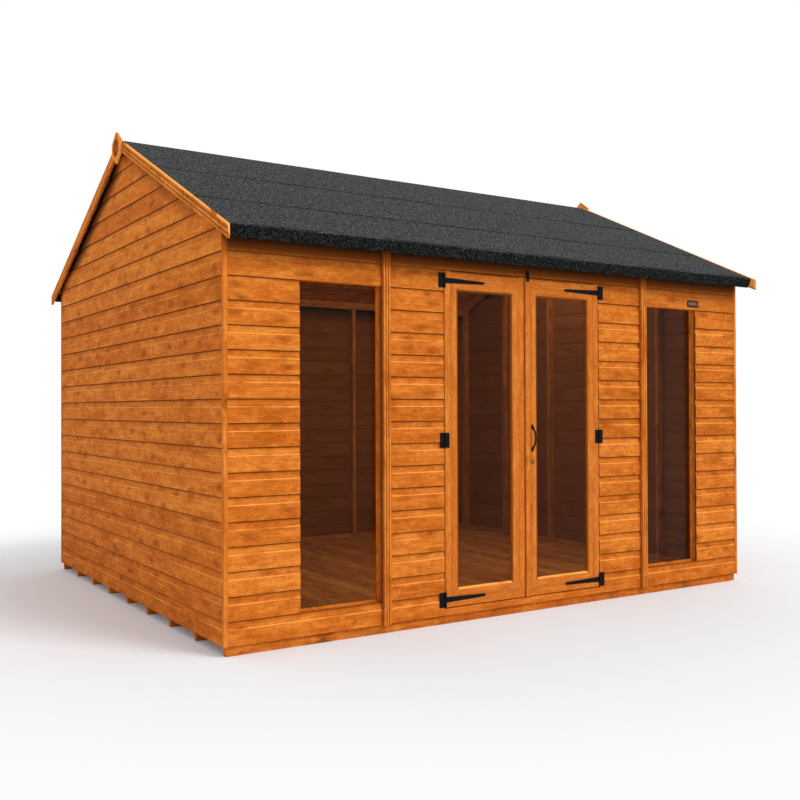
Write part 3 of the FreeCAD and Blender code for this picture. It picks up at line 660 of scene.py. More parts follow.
@dataclass
class Boarding:
    """Shiplap boards of the four walls: each is scooped along its top and rebated over the one below."""

    finishes: Finishes
    cover: float = 0.116
    first: float = -0.0695
    most: int = 26
    scoop_high: float = 0.038
    scoop_deep: float = 0.0055
    rebate: float = 0.0085
    gap: float = 0.0016
    # How far below the eaves the painted shade reaches, and how dark the room's side is painted as shade.
    eaves_shade_reach: float = 0.17
    inner: float = 0.72

    def rows(self, low: float, high: float) -> list[tuple[int, float]]:
        """Number and lowest point of each board between two heights."""
        boards = ((number, self.first + self.cover * number) for number in range(self.most))
        return [row for row in boards if row[1] + self.cover > low + 0.004 and row[1] < high - 0.001]

    def outline(self, base: float, low: float, high: float) -> tuple[np.ndarray, np.ndarray]:
        """Outline of a board, with staining in its joints, painted shade and a painted highlight.

        The face is flat up to an arris. Above it the scoop is a quarter of an ellipse: at a share u of the way
        up, its depth is scoop_deep * sqrt(1 - (1 - u)^2), and it ends at the tongue that stands behind the
        next board. Heights outside low and high are cut off there.

        Args:
            base: height of the board's lower joint.
            low: lowest height that shows.
            high: highest height that shows.

        Returns:
            Array (points, 2) of height and depth, outward positive, and the staining and painted light at each point.
        """
        share = np.array([0.0, 0.012, 0.04, 0.09, 0.18, 0.34, 0.6, 0.82, 1.0])
        foot = base + self.gap / 2
        arris = base + self.cover - self.scoop_high
        end = arris + self.scoop_high - self.gap / 2
        crest, back, chamfer = end + 0.006, -HOUSE.board, 0.003
        lip = [(foot + 0.007, -self.rebate), (foot, -self.rebate), (foot, -0.0012), (foot + 0.0012, 0.0),
               (foot + 0.004, 0.0), (arris - 0.005, 0.0), (arris - 0.002, 0.0)]
        scoop = np.stack([arris + (end - arris) * share, -self.scoop_deep * np.sqrt(1 - (1 - share) ** 2)], -1)
        tongue = [(end, -0.009), (crest, -0.009), (crest, back + chamfer), (crest - chamfer, back),
                  (foot + 0.010, back), (foot + 0.007, back + chamfer)]
        shape = np.concatenate([lip, scoop, tongue])
        # Painted shade under the lip, a painted highlight along the arris, darker again where the boards meet, and
        # painted shade, less deep, on the room's side.
        stain_and_painted_light = np.array([1.0, 1.0, 0.6, 0.15, 0.0, 0.0, -0.3, -1.1, -1.1, -0.7, 0.0, 0.0, 0.0, 0.06, 0.25, 1.0,
                          1.0, 1.0, 1.0, self.inner, self.inner, 1.0])
        shape[:, 0] = np.clip(shape[:, 0], low, high)
        fresh = np.any(np.abs(shape - np.roll(shape, 1, 0)) > 1e-6, axis=1)
        return shape[fresh], stain_and_painted_light[fresh]

    def flat_wall(self, piece: Piece, spans: list[tuple[float, float, float, float]], face: float, way: Way) -> None:
        """Boards of a wall along X, with painted shade close under the eaves.

        Args:
            piece: where they are added.
            spans: left end, right end, lowest and highest height of each stretch.
            face: the wall's outer face in y.
            way: where the wall faces.
        """
        places = piece.chance.uniform(0, 40, (self.most, 3))
        tones = piece.chance.random(self.most)
        for left, right, low, high in spans:
            for row, base in self.rows(low, high):
                shape, stain_and_painted_light = self.outline(base, low, high)
                # Painted shade rises steeply close under the eaves, and a faint painted shade reaches 0.30 m down.
                near = shape[:, 0] - HOUSE.eaves
                dark = np.maximum(2.2 * np.clip((near + self.eaves_shade_reach) / 0.11, 0, 1),
                                  0.25 * np.clip((near + 0.30) / 0.15, 0, 1))
                piece.timber(shape, (left, face, 0), (right, face, 0), Z, Y * way,
                             marks_and_painted_light=np.where(dark > 0, np.maximum(stain_and_painted_light, dark), stain_and_painted_light), tone=float(tones[row]),
                             offset=places[row] + [left, 0.0, 0.0], ends=(0.9, 0.9))

    def gable(self, piece: Piece, side: Side) -> None:
        """Boards of a gable cut off along the roof, with painted shade at the corners and, deeper, under the
        bargeboards.

        Args:
            piece: where they are added.
            side: which gable.
        """
        face = side * HOUSE.half_width
        edge = HOUSE.half_depth - HOUSE.trim
        peak = HOUSE.ridge - 0.002
        bend = HOUSE.under(edge)
        for _, base in self.rows(HOUSE.board_base, peak):
            shape, stain_and_painted_light = self.outline(base, HOUSE.board_base, peak)
            # The painted highlights along the arrises are weaker on the gables.
            stain_and_painted_light = np.where(stain_and_painted_light < 0, 0.6 * stain_and_painted_light, stain_and_painted_light)
            # Painted shade along the cuts under the bargeboards, deepest at the rear; below the eaves, a little at
            # the corners.
            if base + self.cover < bend:
                ends, fade = (0.3, 0.3), 0.01
            elif base > bend:
                ends, fade = (0.95, 2.6), 0.335
            else:
                ends, fade = (0.5, 1.3), 0.24
                at = int(np.argmax(shape[:, 0] > bend))
                depth = np.interp(bend, *shape[at - 1:at + 1].T)
                shape = np.insert(shape, at, [bend, depth], axis=0)
                stain_and_painted_light = np.insert(stain_and_painted_light, at, 0.0)
            cut = np.minimum(edge, (HOUSE.ridge - shape[:, 0]) / HOUSE.slope) - edge
            piece.timber(shape, (face, -edge, 0), (face, edge, 0), Z, X * side, cut=(cut, cut), marks_and_painted_light=stain_and_painted_light,
                         ends=ends, fade=fade)

    def build(self) -> None:
        """Board the four walls."""
        h, end = HOUSE, HOUSE.half_width - HOUSE.trim
        sill, head = (self.first + self.cover * joint for joint in (2, 16))
        front = Piece("shiplap_front", 11)
        spans = [(-h.door_half, h.door_half, h.door_head, h.eaves)]
        for inner, outer, low, high in ((h.door_half, h.window_in, h.board_base, h.eaves),
                                        (h.window_in, end, h.board_base, sill), (h.window_out, end, sill, head),
                                        (h.window_in, end, head, h.eaves)):
            spans += [(-outer, -inner, low, high), (inner, outer, low, high)]
        self.flat_wall(front, spans, -h.half_depth, Way.FRONT)
        front.finish(self.finishes.stained, "front_boards_piers", "front_boards_windows", "front_boards_over_doors")
        back = Piece("shiplap_back", 12)
        self.flat_wall(back, [(-end, end, h.board_base, h.eaves)], h.half_depth, Way.BACK)
        back.finish(self.finishes.stained, "back_boards")
        for side in Side:
            gable = Piece(f"shiplap_gable_{side.word}", 13 + side)
            self.gable(gable, side)
            gable.finish(self.finishes.stained, f"{side.word}_gable_boards")


@dataclass
class Trims:
    """Corner trims, reeded cover strips, the sill and the window beads."""

    finishes: Finishes
    strip: float = 0.046
    strip_proud: float = 0.020
    reed_deep: float = 0.0048
    proud: float = 0.002
    bead: float = 0.012
    window_recess: float = 0.044
    # Painted shade at the top ends of the trims and strips, under the eaves.
    painted_shade_under_eaves: tuple = (0.0, 1.9)

    def cover_strips(self) -> None:
        """Strips with three reeds over the joints of the front's panels.

        Across the strip, the reeds' height falls with the fourth power of the distance from each reed's
        middle, so that they are full and the two grooves between them narrow.
        """
        piece = Piece("reeded_cover_strips", 21)
        share = np.linspace(0, 1, 37)
        swell = 1 - np.abs(2 * ((share * 3) % 1.0) - 1) ** 4
        swell[[0, -1]] = 0.0
        front = np.stack([share * self.strip, self.strip_proud - self.reed_deep * (1 - swell)], -1)
        outline = np.concatenate([[[0.0, 0.0]], front, [[self.strip, 0.0]]])
        # Painted shade in the grooves and at the strip's two sides, and a painted highlight along the reeds' crests.
        stain_and_painted_light = 0.7 * (1 - swell) ** 3 - 0.4 * np.clip((swell - 0.95) / 0.04, 0, 1)
        stain_and_painted_light = np.concatenate([[0.6, 0.0], stain_and_painted_light[1:-1], [0.0, 0.6]])
        top = HOUSE.under(HOUSE.half_depth + self.strip_proud)
        for left in (-HOUSE.window_in, HOUSE.window_in - self.strip):
            # Painted shade at the top, under the eaves.
            piece.timber(outline, (left, -HOUSE.half_depth, HOUSE.board_base), (left, -HOUSE.half_depth, top),
                         X, -Y, marks_and_painted_light=stain_and_painted_light, ends=self.painted_shade_under_eaves, fade=HOUSE.eaves_shade_reach)
        piece.finish(self.finishes.stained, "cover_strips", sharp=50.0)

    def corners(self) -> None:
        """Angle trims over the corners of the walls, each of two narrow strips."""
        piece = Piece("corner_trims_dressed", 22)
        wide, deep = HOUSE.trim + self.proud, HOUSE.board + self.proud
        rise = Z * (HOUSE.under(HOUSE.half_depth + self.proud) - 0.0005 - HOUSE.board_base)
        for side in Side:
            for way in Way:
                inward, behind = -X * side, -Y * way
                corner = (Z * HOUSE.board_base - inward * (HOUSE.half_width + self.proud)
                          - behind * (HOUSE.half_depth + self.proud))
                for shape, start in ((rounded(wide, deep, 0.002), corner),
                                     (rounded(deep, wide - deep, 0.0012), corner + behind * deep)):
                    # Painted shade at the top, under the eaves.
                    piece.timber(shape, start, start + rise, inward, behind, ends=self.painted_shade_under_eaves,
                                 fade=HOUSE.eaves_shade_reach)
        piece.finish(self.finishes.stained, "corner_trims")

    def sill(self) -> None:
        """Board under the doors."""
        piece = Piece("door_sill_board", 23)
        low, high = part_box("door_sill")
        piece.timber(rounded(high.z - low.z, high.y - low.y, 0.002), (low.x, high.y, low.z),
                     (high.x, high.y, low.z), Z, -Y)
        piece.finish(self.finishes.stained, "door_sill")

    def beads(self) -> None:
        """Mitred beads round both windows."""
        piece = Piece("window_beads_dressed", 24)
        for side in Side:
            left, right = sorted((side * HOUSE.window_in, side * HOUSE.window_out))
            mitred_ring(piece, left, right, HOUSE.window_low, HOUSE.window_high,
                        self.window_recess - HOUSE.half_depth, bead_outline(self.bead, 0.012, 0.004))
        piece.finish(self.finishes.stained, "window_beads")

    def build(self) -> None:
        """Make all the trims."""
        self.cover_strips()
        self.corners()
        self.sill()
        self.beads()


def bead_outline(wide: float, deep: float, bevel: float) -> np.ndarray:
    """Outline of a bead: square at the back and outer side, with a slightly hollow bevel at its inner edge.

    Args:
        wide: size across, from the outer side.
        deep: size towards the front.
        bevel: how far the bevel runs across.

    Returns:
        Array (points, 2).
    """
    turn = np.radians(np.linspace(0, 90, 5))
    hollow = np.stack([wide - bevel * (1 - np.cos(turn)), deep - bevel * (1 - np.sin(turn))], -1)
    return np.concatenate([[[0.0, 0.0], [wide, 0.0]], hollow, [[0.0008, deep], [0.0, deep - 0.0008]]])


def mitred_ring(piece: Piece, left: float, right: float, low: float, high: float, back: float,
                outline: np.ndarray, stain_and_painted_light: np.ndarray | float = 0.0, painted_light: float = 0.0) -> None:
    """Add four mitred lengths round an upright opening, facing the front.

    Args:
        piece: where they are added.
        left: the opening's left side.
        right: its right side.
        low: its bottom.
        high: its top.
        back: y of the moulding's back.
        outline: across from the opening's edge, and towards the front.
        stain_and_painted_light: staining and painted light at each point of the outline.
        painted_light: how strong a painted highlight the bottom length's bevel takes;
            the other three take painted shade.
    """
    shift = -outline[:, 0]
    corners = [(left, back, low), (right, back, low), (right, back, high), (left, back, high)]
    for number, inward in enumerate((Z, -X, -Z, X)):
        darkening = np.broadcast_to(stain_and_painted_light, len(outline)).astype(float)
        # A painted highlight on the bottom length, painted shade on the other three.
        darkening[2:-1] += 0.7 * painted_light if number else -painted_light  # the bottom length is the first
        piece.timber(outline, corners[number], corners[(number + 1) % 4], inward, -Y, cut=(shift, shift), marks_and_painted_light=darkening)


@dataclass
class Leaf:
    """One glazed door leaf, riding on its own body: stiles and rails round a mitred inner frame."""

    finishes: Finishes
    side: Side
    bead: float = 0.012
    bevel: float = 0.0095
    moulding: float = 0.045
    fall: float = 0.0045
    arris: float = 0.0012

    def ovolo(self, thick: float, recess: float) -> tuple[np.ndarray, np.ndarray]:
        """Outline of the inner frame, with staining at its outer edge and painted shade behind the glass.

        From a flat fillet, the face falls towards the glass along a quarter of a cosine: at a share u of
        its way, it lies fall * (1 - cos(90 degrees * u)) below the leaf's face.

        Args:
            thick: the leaf's thickness.
            recess: how far the glass lies behind the leaf's face.

        Returns:
            Array (points, 2) of the distance from the frame's outer edge and the height, and the staining and painted
            shade.
        """
        wide, behind = self.moulding, thick - recess
        share = np.linspace(0, 1, 7)
        begin = wide * 0.55
        curve = np.stack([begin + (wide - begin) * share, thick - self.fall * (1 - np.cos(np.pi / 2 * share))], -1)
        shape = np.concatenate([[(0.0, 0.0), (0.0, thick - 0.0016), (0.0022, thick - 0.0002)], curve,
                                [(wide, behind + 0.002), (wide, behind - 0.001), (wide, 0.003), (wide - 0.003, 0.0)]])
        stain_and_painted_light = np.zeros(len(shape))
        stain_and_painted_light[:3] = [0.5, 0.5, 0.1]
        # Painted shade on the side behind the glass.
        stain_and_painted_light[-3:-1] = 1.0
        return shape, stain_and_painted_light

    def build(self) -> None:
        """Stiles, rails, moulding and bead, in place of the CAD nodes."""
        word = self.side.word
        body = f"{word}_leaf"
        low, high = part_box(f"leaf_{word}_stiles")
        pane_low, pane_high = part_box(f"leaf_{word}_glass")
        thick, recess = high.y - low.y, pane_low.y - low.y
        joint_left, joint_right = pane_low.x - self.moulding, pane_high.x + self.moulding
        joint_low, joint_high = pane_low.z - self.moulding, pane_high.z + self.moulding

        piece = Piece(f"leaf_{word}_joinery", 31 + self.side)
        for edge in (low.x, joint_right):
            piece.timber(rounded(joint_left - low.x, thick, self.arris), (edge, high.y, low.z),
                         (edge, high.y, high.z), X, -Y)
        # The top rail's upper 10 mm carry a painted shadow from the head of the doorway.
        for base, tall, shade in ((low.z, joint_low - low.z, 0.0), (joint_high, high.z - joint_high, 0.9)):
            rail = np.insert(rounded(tall, thick, self.arris), 12, [tall - 0.010, thick], axis=0)
            darkening = np.zeros(len(rail))
            darkening[4:12] = shade
            piece.timber(rail, (joint_left, high.y, base), (joint_right, high.y, base), Z, -Y, marks_and_painted_light=darkening)
        shape, stain_and_painted_light = self.ovolo(thick, recess)
        mitred_ring(piece, joint_left, joint_right, joint_low, joint_high, high.y, shape, stain_and_painted_light)
        piece.finish(self.finishes.joinery, f"leaf_{word}_stiles", f"leaf_{word}_rails", body=body)

        bead = Piece(f"leaf_{word}_glazing_bead", 41 + self.side)
        # A painted highlight on the bottom bead's bevel, painted shade on the other three.
        mitred_ring(bead, pane_low.x, pane_high.x, pane_low.z, pane_high.z, pane_low.y,
                    bead_outline(self.bead, recess - self.fall, self.bevel), painted_light=1.3)
        bead.finish(self.finishes.joinery, f"leaf_{word}_bead", body=body)
        dress(self.finishes.glass, f"leaf_{word}_glass")
        dress(self.finishes.steel, f"leaf_{word}_hinges")


@dataclass
class Fittings:
    """Meeting strip, handle, lock, head bar, screws and the bare plate."""

    finishes: Finishes
    plate_low: tuple = (1.352, 1.804)
    plate_high: tuple = (1.457, 1.848)
    hinge_metal: float = 0.0025
    strap_heights: tuple = (1.845, 0.132)
    butt_height: float = 0.986
    plate_wide: float = 0.033
    butt_wide: float = 0.025
    plate_edge: float = 0.5715
    strap_edge: float = 0.5605
    strap_screws: tuple = (0.030, 0.095, 0.165, 0.235)
    butt_screws: float = 0.5480
    screw_apart: float = 0.027
    screw_radius: float = 0.0036
    dome: float = 0.0008

    def strip(self) -> None:
        """Meeting strip on the right leaf."""
        low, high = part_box("meeting_strip")
        piece = Piece("meeting_strip_dressed", 51)
        piece.timber(rounded(high.x - low.x, high.y - low.y, 0.0025), (low.x, high.y, low.z), (low.x, high.y, high.z),
                     X, -Y, tone=0.62)
        piece.finish(self.finishes.joinery, "meeting_strip", body="right_leaf")

    def plate(self) -> None:
        """Bare plate with a raised rim over the right window, its sunk middle rubbed."""
        low, high = np.array(self.plate_low), np.array(self.plate_high)
        half, middle = (high - low) / 2, (low + high) / 2
        piece = Piece("bare_cast_plate", 52)
        # Each ring of the plate: how far it lies in from the edge, how far it stands out, and how rubbed it is.
        rings = np.array([(0.0, 0.0, 0.0), (0.0, 0.0022, 0.0), (0.0012, 0.0032, 0.0), (0.0100, 0.0032, 0.0),
                          (0.0115, 0.0018, 0.6), (0.0125, 0.0018, 1.0)])
        rows = []
        for inset, out, _ in rings:
            wide, tall = 2 * (half - inset)
            shape = rounded(wide, tall, 0.004 - 0.2 * inset) - (half - inset) + middle
            rows.append(np.stack(np.broadcast_arrays(shape[:, 0], -HOUSE.half_depth - out, shape[:, 1]), -1))
        rows = np.array(rows)
        piece.shell(rows, rows, rings[:, 2:])
        piece.finish(self.finishes.plate, slot="black_steel")

    def screws(self) -> None:
        """Screws in the hinges' plates and straps.

        The heads are shallow domes: at a share r of the radius, the height is 1 - r^2, times 0.8 mm.
        """
        heads: dict[str, list] = {"building": [], "left_leaf": [], "right_leaf": []}
        for side in Side:
            leaf = heads[f"{side.word}_leaf"]
            for height, wide in ((self.strap_heights[0], self.plate_wide), (self.butt_height, self.butt_wide),
                                 (self.strap_heights[1], self.plate_wide)):
                for drop in (-self.screw_apart, 0.0, self.screw_apart):
                    heads["building"].append((side * (self.plate_edge + wide / 2), height + drop))
            leaf += [(side * (self.strap_edge - reach), height) for height in self.strap_heights
                     for reach in self.strap_screws]
            leaf += [(side * self.butt_screws, self.butt_height + drop)
                     for drop in (-self.screw_apart, self.screw_apart)]
        share = np.array([1.0, 1.0, 0.75, 0.35])
        proud = self.dome * (1 - share ** 2)
        proud[0] = -0.0006  # the first ring is sunk, so that no gap shows under a head
        metal = HOUSE.half_depth + self.hinge_metal
        for body, places in heads.items():
            piece = Piece(f"hinge_screws_{body}", 53)
            for x, z in places:
                rows = disc(np.array([x, -metal, z]), self.screw_radius * share, X, 12) - proud[:, None, None] * Y
                piece.shell(rows, rows)
            piece.finish(self.finishes.steel, slot="black_steel", body=body)

    def build(self) -> None:
        """Make the fittings."""
        self.strip()
        self.plate()
        self.screws()
        dress(self.finishes.steel, "door_handle", "head_bar", "hinge_plates")
        dress(self.finishes.brass, "door_lock")


@dataclass
class Roof:
    """Boards, felt in courses, folded drips, bargeboards and finials."""

    finishes: Finishes
    reach: float = 0.100
    board: float = 0.012
    board_wide: float = 0.1
    felt: float = 0.003
    sheet_thick: float = 0.0022
    laps: tuple = (0.684, 1.297)
    lap: float = 0.06
    drip: float = 0.062
    fold: float = 0.006
    barge_wide: float = 0.061
    barge_proud: float = 0.005
    barge_thick: float = 0.014
    barge_reach: float = 0.136
    groove_deep: float = 0.003
    nail_radius: float = 0.0048
    nail_rows: tuple = (0.094, 0.60, 1.10, 1.56)
    nail_drops: tuple = (0.010, 0.026, 0.046)

    @property
    def stretch(self) -> float:
        """Length of the slope for each metre of run."""
        return math.hypot(1.0, HOUSE.slope)

    @property
    def length(self) -> float:
        """Length of a slope from the ridge to the eaves."""
        return (HOUSE.half_depth + self.reach) * self.stretch

    def down(self, way: float) -> np.ndarray:
        """Direction down a slope; way is -1 for the front and 1 for the rear."""
        return np.array([0.0, way, -HOUSE.slope]) / self.stretch

    def out(self, way: float) -> np.ndarray:
        """Direction square to a slope, upwards."""
        return np.array([0.0, way * HOUSE.slope, 1.0]) / self.stretch

    def boards(self) -> None:
        """Boards along the building, with small V joints on their undersides; the top ones are planed to meet."""
        count = round(self.length / self.board_wide)
        wide = self.length / count
        outline = np.array([[0.0015, 0.0], [wide - 0.0015, 0.0], [wide, 0.002], [wide, self.board],
                            [0.0, self.board], [0.0, 0.002]])
        top = np.array([[0.0, 0.0], *outline[1:4], [0.020, self.board], [-0.006 * HOUSE.slope, 0.006]])
        for way in Way:
            piece = Piece(f"roof_boarding_{way.word}", 61 + way)
            down, out = self.down(way), self.out(way)
            for number in range(count):
                start = np.array([-HOUSE.roof_end, 0.0, HOUSE.ridge]) + down * wide * number
                piece.timber(outline if number else top, start, start + X * 2 * HOUSE.roof_end, down, out)
            piece.finish(self.finishes.planed_own, f"roof_boards_{way.word}", slot="roof_timber")

    def sheet(self, piece: Piece, path: np.ndarray, normal: np.ndarray, edge: float = 0.0,
              both: bool = False) -> None:
        """Add a length of felt along the building.

        Its lower face follows the path, and the upper one lies a thickness along the normals. The sheet
        rises and falls by up to half a millimetre in long waves along the building, and a lap's edge drifts
        by up to 5 mm.

        Args:
            piece: where it is added.
            path: array (points, 3) across the building at x = 0.
            normal: unit normals at those points.
            edge: how dark the last 8 mm of the path are, along the lap's edge.
            both: whether the first end of the path is such an edge as well.
        """
        along = np.linspace(-HOUSE.roof_end, HOUSE.roof_end, 61)
        ring = np.concatenate([path, (path + normal * self.sheet_thick)[::-1]])
        lift = np.concatenate([normal, normal[::-1]])
        phase = piece.chance.uniform(0, 6.28, 3)
        run = np.linspace(0, 1, len(path))
        run = np.concatenate([run, run[::-1]])
        wave = np.sin(along[:, None] * 5.1 + phase[0] + run * 4) * np.sin(along[:, None] * 2.3 + phase[1])
        rows = ring + lift * 0.0005 * (wave + 1)[..., None] + along[:, None, None] * X
        if edge > 0:
            drift = 0.003 * np.sin(along * 3.7 + phase[0]) + 0.002 * np.sin(along * 9.1 + phase[2])
            last = path[-1] - path[-2]
            rows += (drift[:, None] * run ** 8)[..., None] * last / np.linalg.norm(last)
        piece.shell(rows, rows, np.where((run > 0.999) | (run < 0.001) & both, edge, 0.0))

    def courses(self) -> None:
        """Felt in courses that lap down each slope, with one over the ridge."""
        top, low = self.laps
        base, thick = np.array([0.0, 0.0, HOUSE.ridge]), self.sheet_thick
        bed, edge, dark = self.board + 0.0004, 0.008, 0.8
        for way in Way:
            piece = Piece(f"felt_courses_{way.word}", 71 + way)
            down, out = self.down(way), self.out(way)
            for begin, end in ((top - self.lap, low), (low - self.lap, self.length)):
                free = end < self.length
                place = np.append(np.linspace(begin, end - edge, 14), end)
                rise = bed + thick * free * np.clip((place - begin - self.lap) / 0.12, 0, 1) ** 0.5
                path = base + place[:, None] * down + rise[:, None] * out
                self.sheet(piece, path, np.broadcast_to(out, path.shape), dark * free)
            piece.finish(self.finishes.felt, f"felt_{way.word}", slot="mineral_felt")
        ridge = Piece("felt_course_over_ridge", 73)
        half = np.concatenate([[top], np.linspace(top - edge, 0.05, 10), np.linspace(0.03, 0.0, 5)])
        place = np.concatenate([-half, half[::-1][1:]])[:, None]
        share = 0.5 + 0.5 * np.clip(place / 0.03, -1, 1)
        normal = (1 - share) * self.out(-1) + share * self.out(1)
        normal /= np.linalg.norm(normal, axis=1)[:, None]
        away = np.abs(place)
        path = base + away * np.where(place < 0, self.down(-1), self.down(1))
        path += (bed + thick * np.clip(away / 0.2, 0, 1)) * normal - 0.0022 * np.exp(-(place / 0.02) ** 2) * Z
        self.sheet(ridge, path, normal, dark, True)
        ridge.finish(self.finishes.felt, slot="mineral_felt")

    def drips(self) -> None:
        """Felt folded down over the eaves: a quarter round from the slope, then straight down the batten."""
        piece = Piece("felt_drips_folded", 75)
        turn = np.radians(np.linspace(0, 90, 7))[:, None]
        fall = np.linspace(0.006, self.drip - self.felt - self.fold, 6)[:, None]
        for way in Way:
            down, out = self.down(way), self.out(way)
            edge = np.array([0.0, 0.0, HOUSE.ridge]) + self.length * down
            centre = edge + out * (self.board - self.fold + 0.0006) - down * (self.fold - 0.0006)
            bend = np.cos(turn) * out + np.sin(turn) * down
            straight = centre + down * self.fold - out * fall
            path = np.concatenate([[centre - down * 0.02 + out * self.fold], centre + bend * self.fold, straight])
            normal = np.concatenate([[out], bend, np.broadcast_to(down, straight.shape)])
            self.sheet(piece, path, normal)
        piece.finish(self.finishes.drip, "felt_drips", slot="mineral_felt", sharp=60.0)

    def bargeboards(self) -> None:
        """Grooved bargeboards along the gables, plumb cut at the eaves and under the finial."""
        wide, thick = self.barge_wide, self.barge_thick
        # Distance down from the crest, height of the face, and colour value: a painted highlight on the crest
        # and below each groove, painted shade in the grooves.
        rows = [(0, 0, -3), (0, thick - 0.005, -3), (0.005, thick, -3), (0.0065, thick, 0)]
        for groove in (0.30, 0.66):
            rows += [(groove * wide, thick, 0), ((groove + 0.02) * wide, thick - self.groove_deep, 1),
                     ((groove + 0.07) * wide, thick - self.groove_deep, 1), ((groove + 0.09) * wide, thick, -0.4)]
        rows += [(wide - 0.002, thick, 0), (wide, thick - 0.002, 0), (wide, 0, 0)]
        outline, stain_and_painted_light = np.array(rows, float)[:, :2], np.array(rows, float)[:, 2]
        shift = outline[:, 0] * HOUSE.slope
        crest = HOUSE.ridge + (self.board + self.felt + self.barge_proud) * self.stretch
        reach = HOUSE.half_depth + self.barge_reach
        for way in Way:
            piece = Piece(f"{way.word}_bargeboards_dressed", 81 + way)
            for side in Side:
                x = side * HOUSE.roof_end
                start, end = (x, way * 0.0005, crest), (x, way * reach, crest - HOUSE.slope * reach)
                piece.timber(outline, start, end, -self.out(way), X * side, cut=(-shift, shift),
                             marks_and_painted_light=stain_and_painted_light)
            piece.finish(self.finishes.stained, f"{way.word}_bargeboards")

    def finials(self) -> None:
        """Pointed boards at the peaks, each with a carved rosette of eight petals in a sunk circle.

        Round the middle, the outer edge is the hexagon's radius R(a) = min over its sides of d / cos(a - n),
        for a side at distance d whose normal has the angle n. Inside the circle of radius 48 mm, the face lies
        5 mm down, and the petals rise by 3.5 mm * sin(pi r / 44 mm) * |cos 4a|^0.6.
        """
        low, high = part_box("finials")
        half, tall, flat = high.y, (high.z - low.z) / 2, 0.036
        corners = np.array([[half, -flat], [half, flat], [0, tall], [-half, flat], [-half, -flat], [0, -tall]])
        step = np.roll(corners, -1, 0) - corners
        normal = np.stack([step[:, 1], -step[:, 0]], -1) / np.linalg.norm(step, axis=1)[:, None]
        reach = (normal * corners).sum(1)[:, None]
        turn = np.unique(np.round(np.concatenate([np.arctan2(corners[:, 1], corners[:, 0]),
                                                  np.linspace(-np.pi, np.pi, 96, endpoint=False)]), 6))
        facing = normal[:, :1] * np.cos(turn) + normal[:, 1:] * np.sin(turn)
        edge = np.where(facing > 1e-6, reach / np.where(facing > 1e-6, facing, 1.0), 9.0).min(0)
        hollow = np.array([0.048, 0.0465, 0.044, 0.040, 0.034, 0.027, 0.020, 0.013, 0.008, 0.005, 0.0015])[:, None]
        ring = np.concatenate([[edge, edge, edge - 0.003], np.repeat(hollow, len(turn), 1)])
        petal = 0.0035 * np.sin(np.pi * np.clip(hollow / 0.044, 0, 1)) * np.abs(np.cos(4 * turn)) ** 0.6
        sunk = -0.005 + petal + np.where(hollow < 0.01, 0.003, 0.0)
        sunk[:2] = [[0.0], [-0.004]]
        depth = np.concatenate([np.repeat([[-0.014], [-0.003], [0.0]], len(turn), 1), sunk])
        # Darker the deeper the face is sunk, as painted shade, and paler on the rim and the outer edge.
        stain_and_painted_light = np.clip(-depth / 0.004, 0, 1)
        stain_and_painted_light[:3] = -0.7
        for side in Side:
            piece = Piece(f"finial_{side.word}_carved", 85 + side)
            rows = np.stack([(high.x + depth) * side, ring * np.cos(turn),
                             (low.z + high.z) / 2 + ring * np.sin(turn)], -1)
            piece.shell(rows, rows[..., ::-1], stain_and_painted_light)
            piece.finish(self.finishes.stained, *(["finials"] if side is Side.RIGHT else []))

    def nails(self) -> None:
        """Flat clout heads in the bargeboards, three across at four places on each."""
        piece = Piece("clout_nails", 87)
        for side in Side:
            out, x = X * side, side * (HOUSE.roof_end + self.barge_thick)
            for way in Way:
                for y in self.nail_rows:
                    for drop in self.nail_drops:
                        height = HOUSE.under(y) + (self.board + self.felt + self.barge_proud - drop) * self.stretch
                        centre = np.array([x, way * y, height])
                        ring = disc(centre, np.array([self.nail_radius]), Y, 8)
                        rows = np.concatenate([ring - out * 0.001, ring + out * 0.0003])
                        piece.shell(rows, rows)
        piece.finish(self.finishes.steel, slot="black_steel")

    def build(self) -> None:
        """Make the roof."""
        self.finials()
        self.nails()
        self.boards()
        self.courses()
        self.drips()
        self.bargeboards()
        # The eaves battens take the near-black felt edge finish as painted shade under the eaves.
        dress(self.finishes.drip, "eaves_battens")
        dress(self.finishes.planed_x, "roof_purlins")


@dataclass
class Floor:
    """Bearers and deck boards."""

    finishes: Finishes
    boards: int = 34
    bearers: int = 9
    bearer_thick: float = 0.028

    def build(self) -> None:
        """Make the floor."""
        low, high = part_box("floor_deck")
        deck = Piece("floor_boards", 91)
        wide, thick, gap = (high.x - low.x) / self.boards, high.z - low.z, 0.0006
        shape = np.array([[gap, 0.0], [wide - gap, 0.0], [wide - gap, thick - 0.0012],
                          [wide - 0.0018, thick], [0.0018, thick], [gap, thick - 0.0012]])
        for number in range(self.boards):
            x = low.x + wide * number
            deck.timber(shape, (x, low.y, low.z), (x, high.y, low.z), X, Z, marks_and_painted_light=[0, 0, 0.8, 0, 0, 0.8])
        deck.finish(self.finishes.planed_own, "floor_deck", slot="floor_timber")
        low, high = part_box("floor_bearers")
        bearers = Piece("floor_bearers_sawn", 92)
        outline = rounded(self.bearer_thick, high.z - low.z, 0.002)
        for y in np.linspace(low.y, high.y - self.bearer_thick, self.bearers):
            bearers.timber(outline, (low.x, y, low.z), (high.x, y, low.z), Y, Z)
        bearers.finish(self.finishes.treated, "floor_bearers", slot="treated_timber")


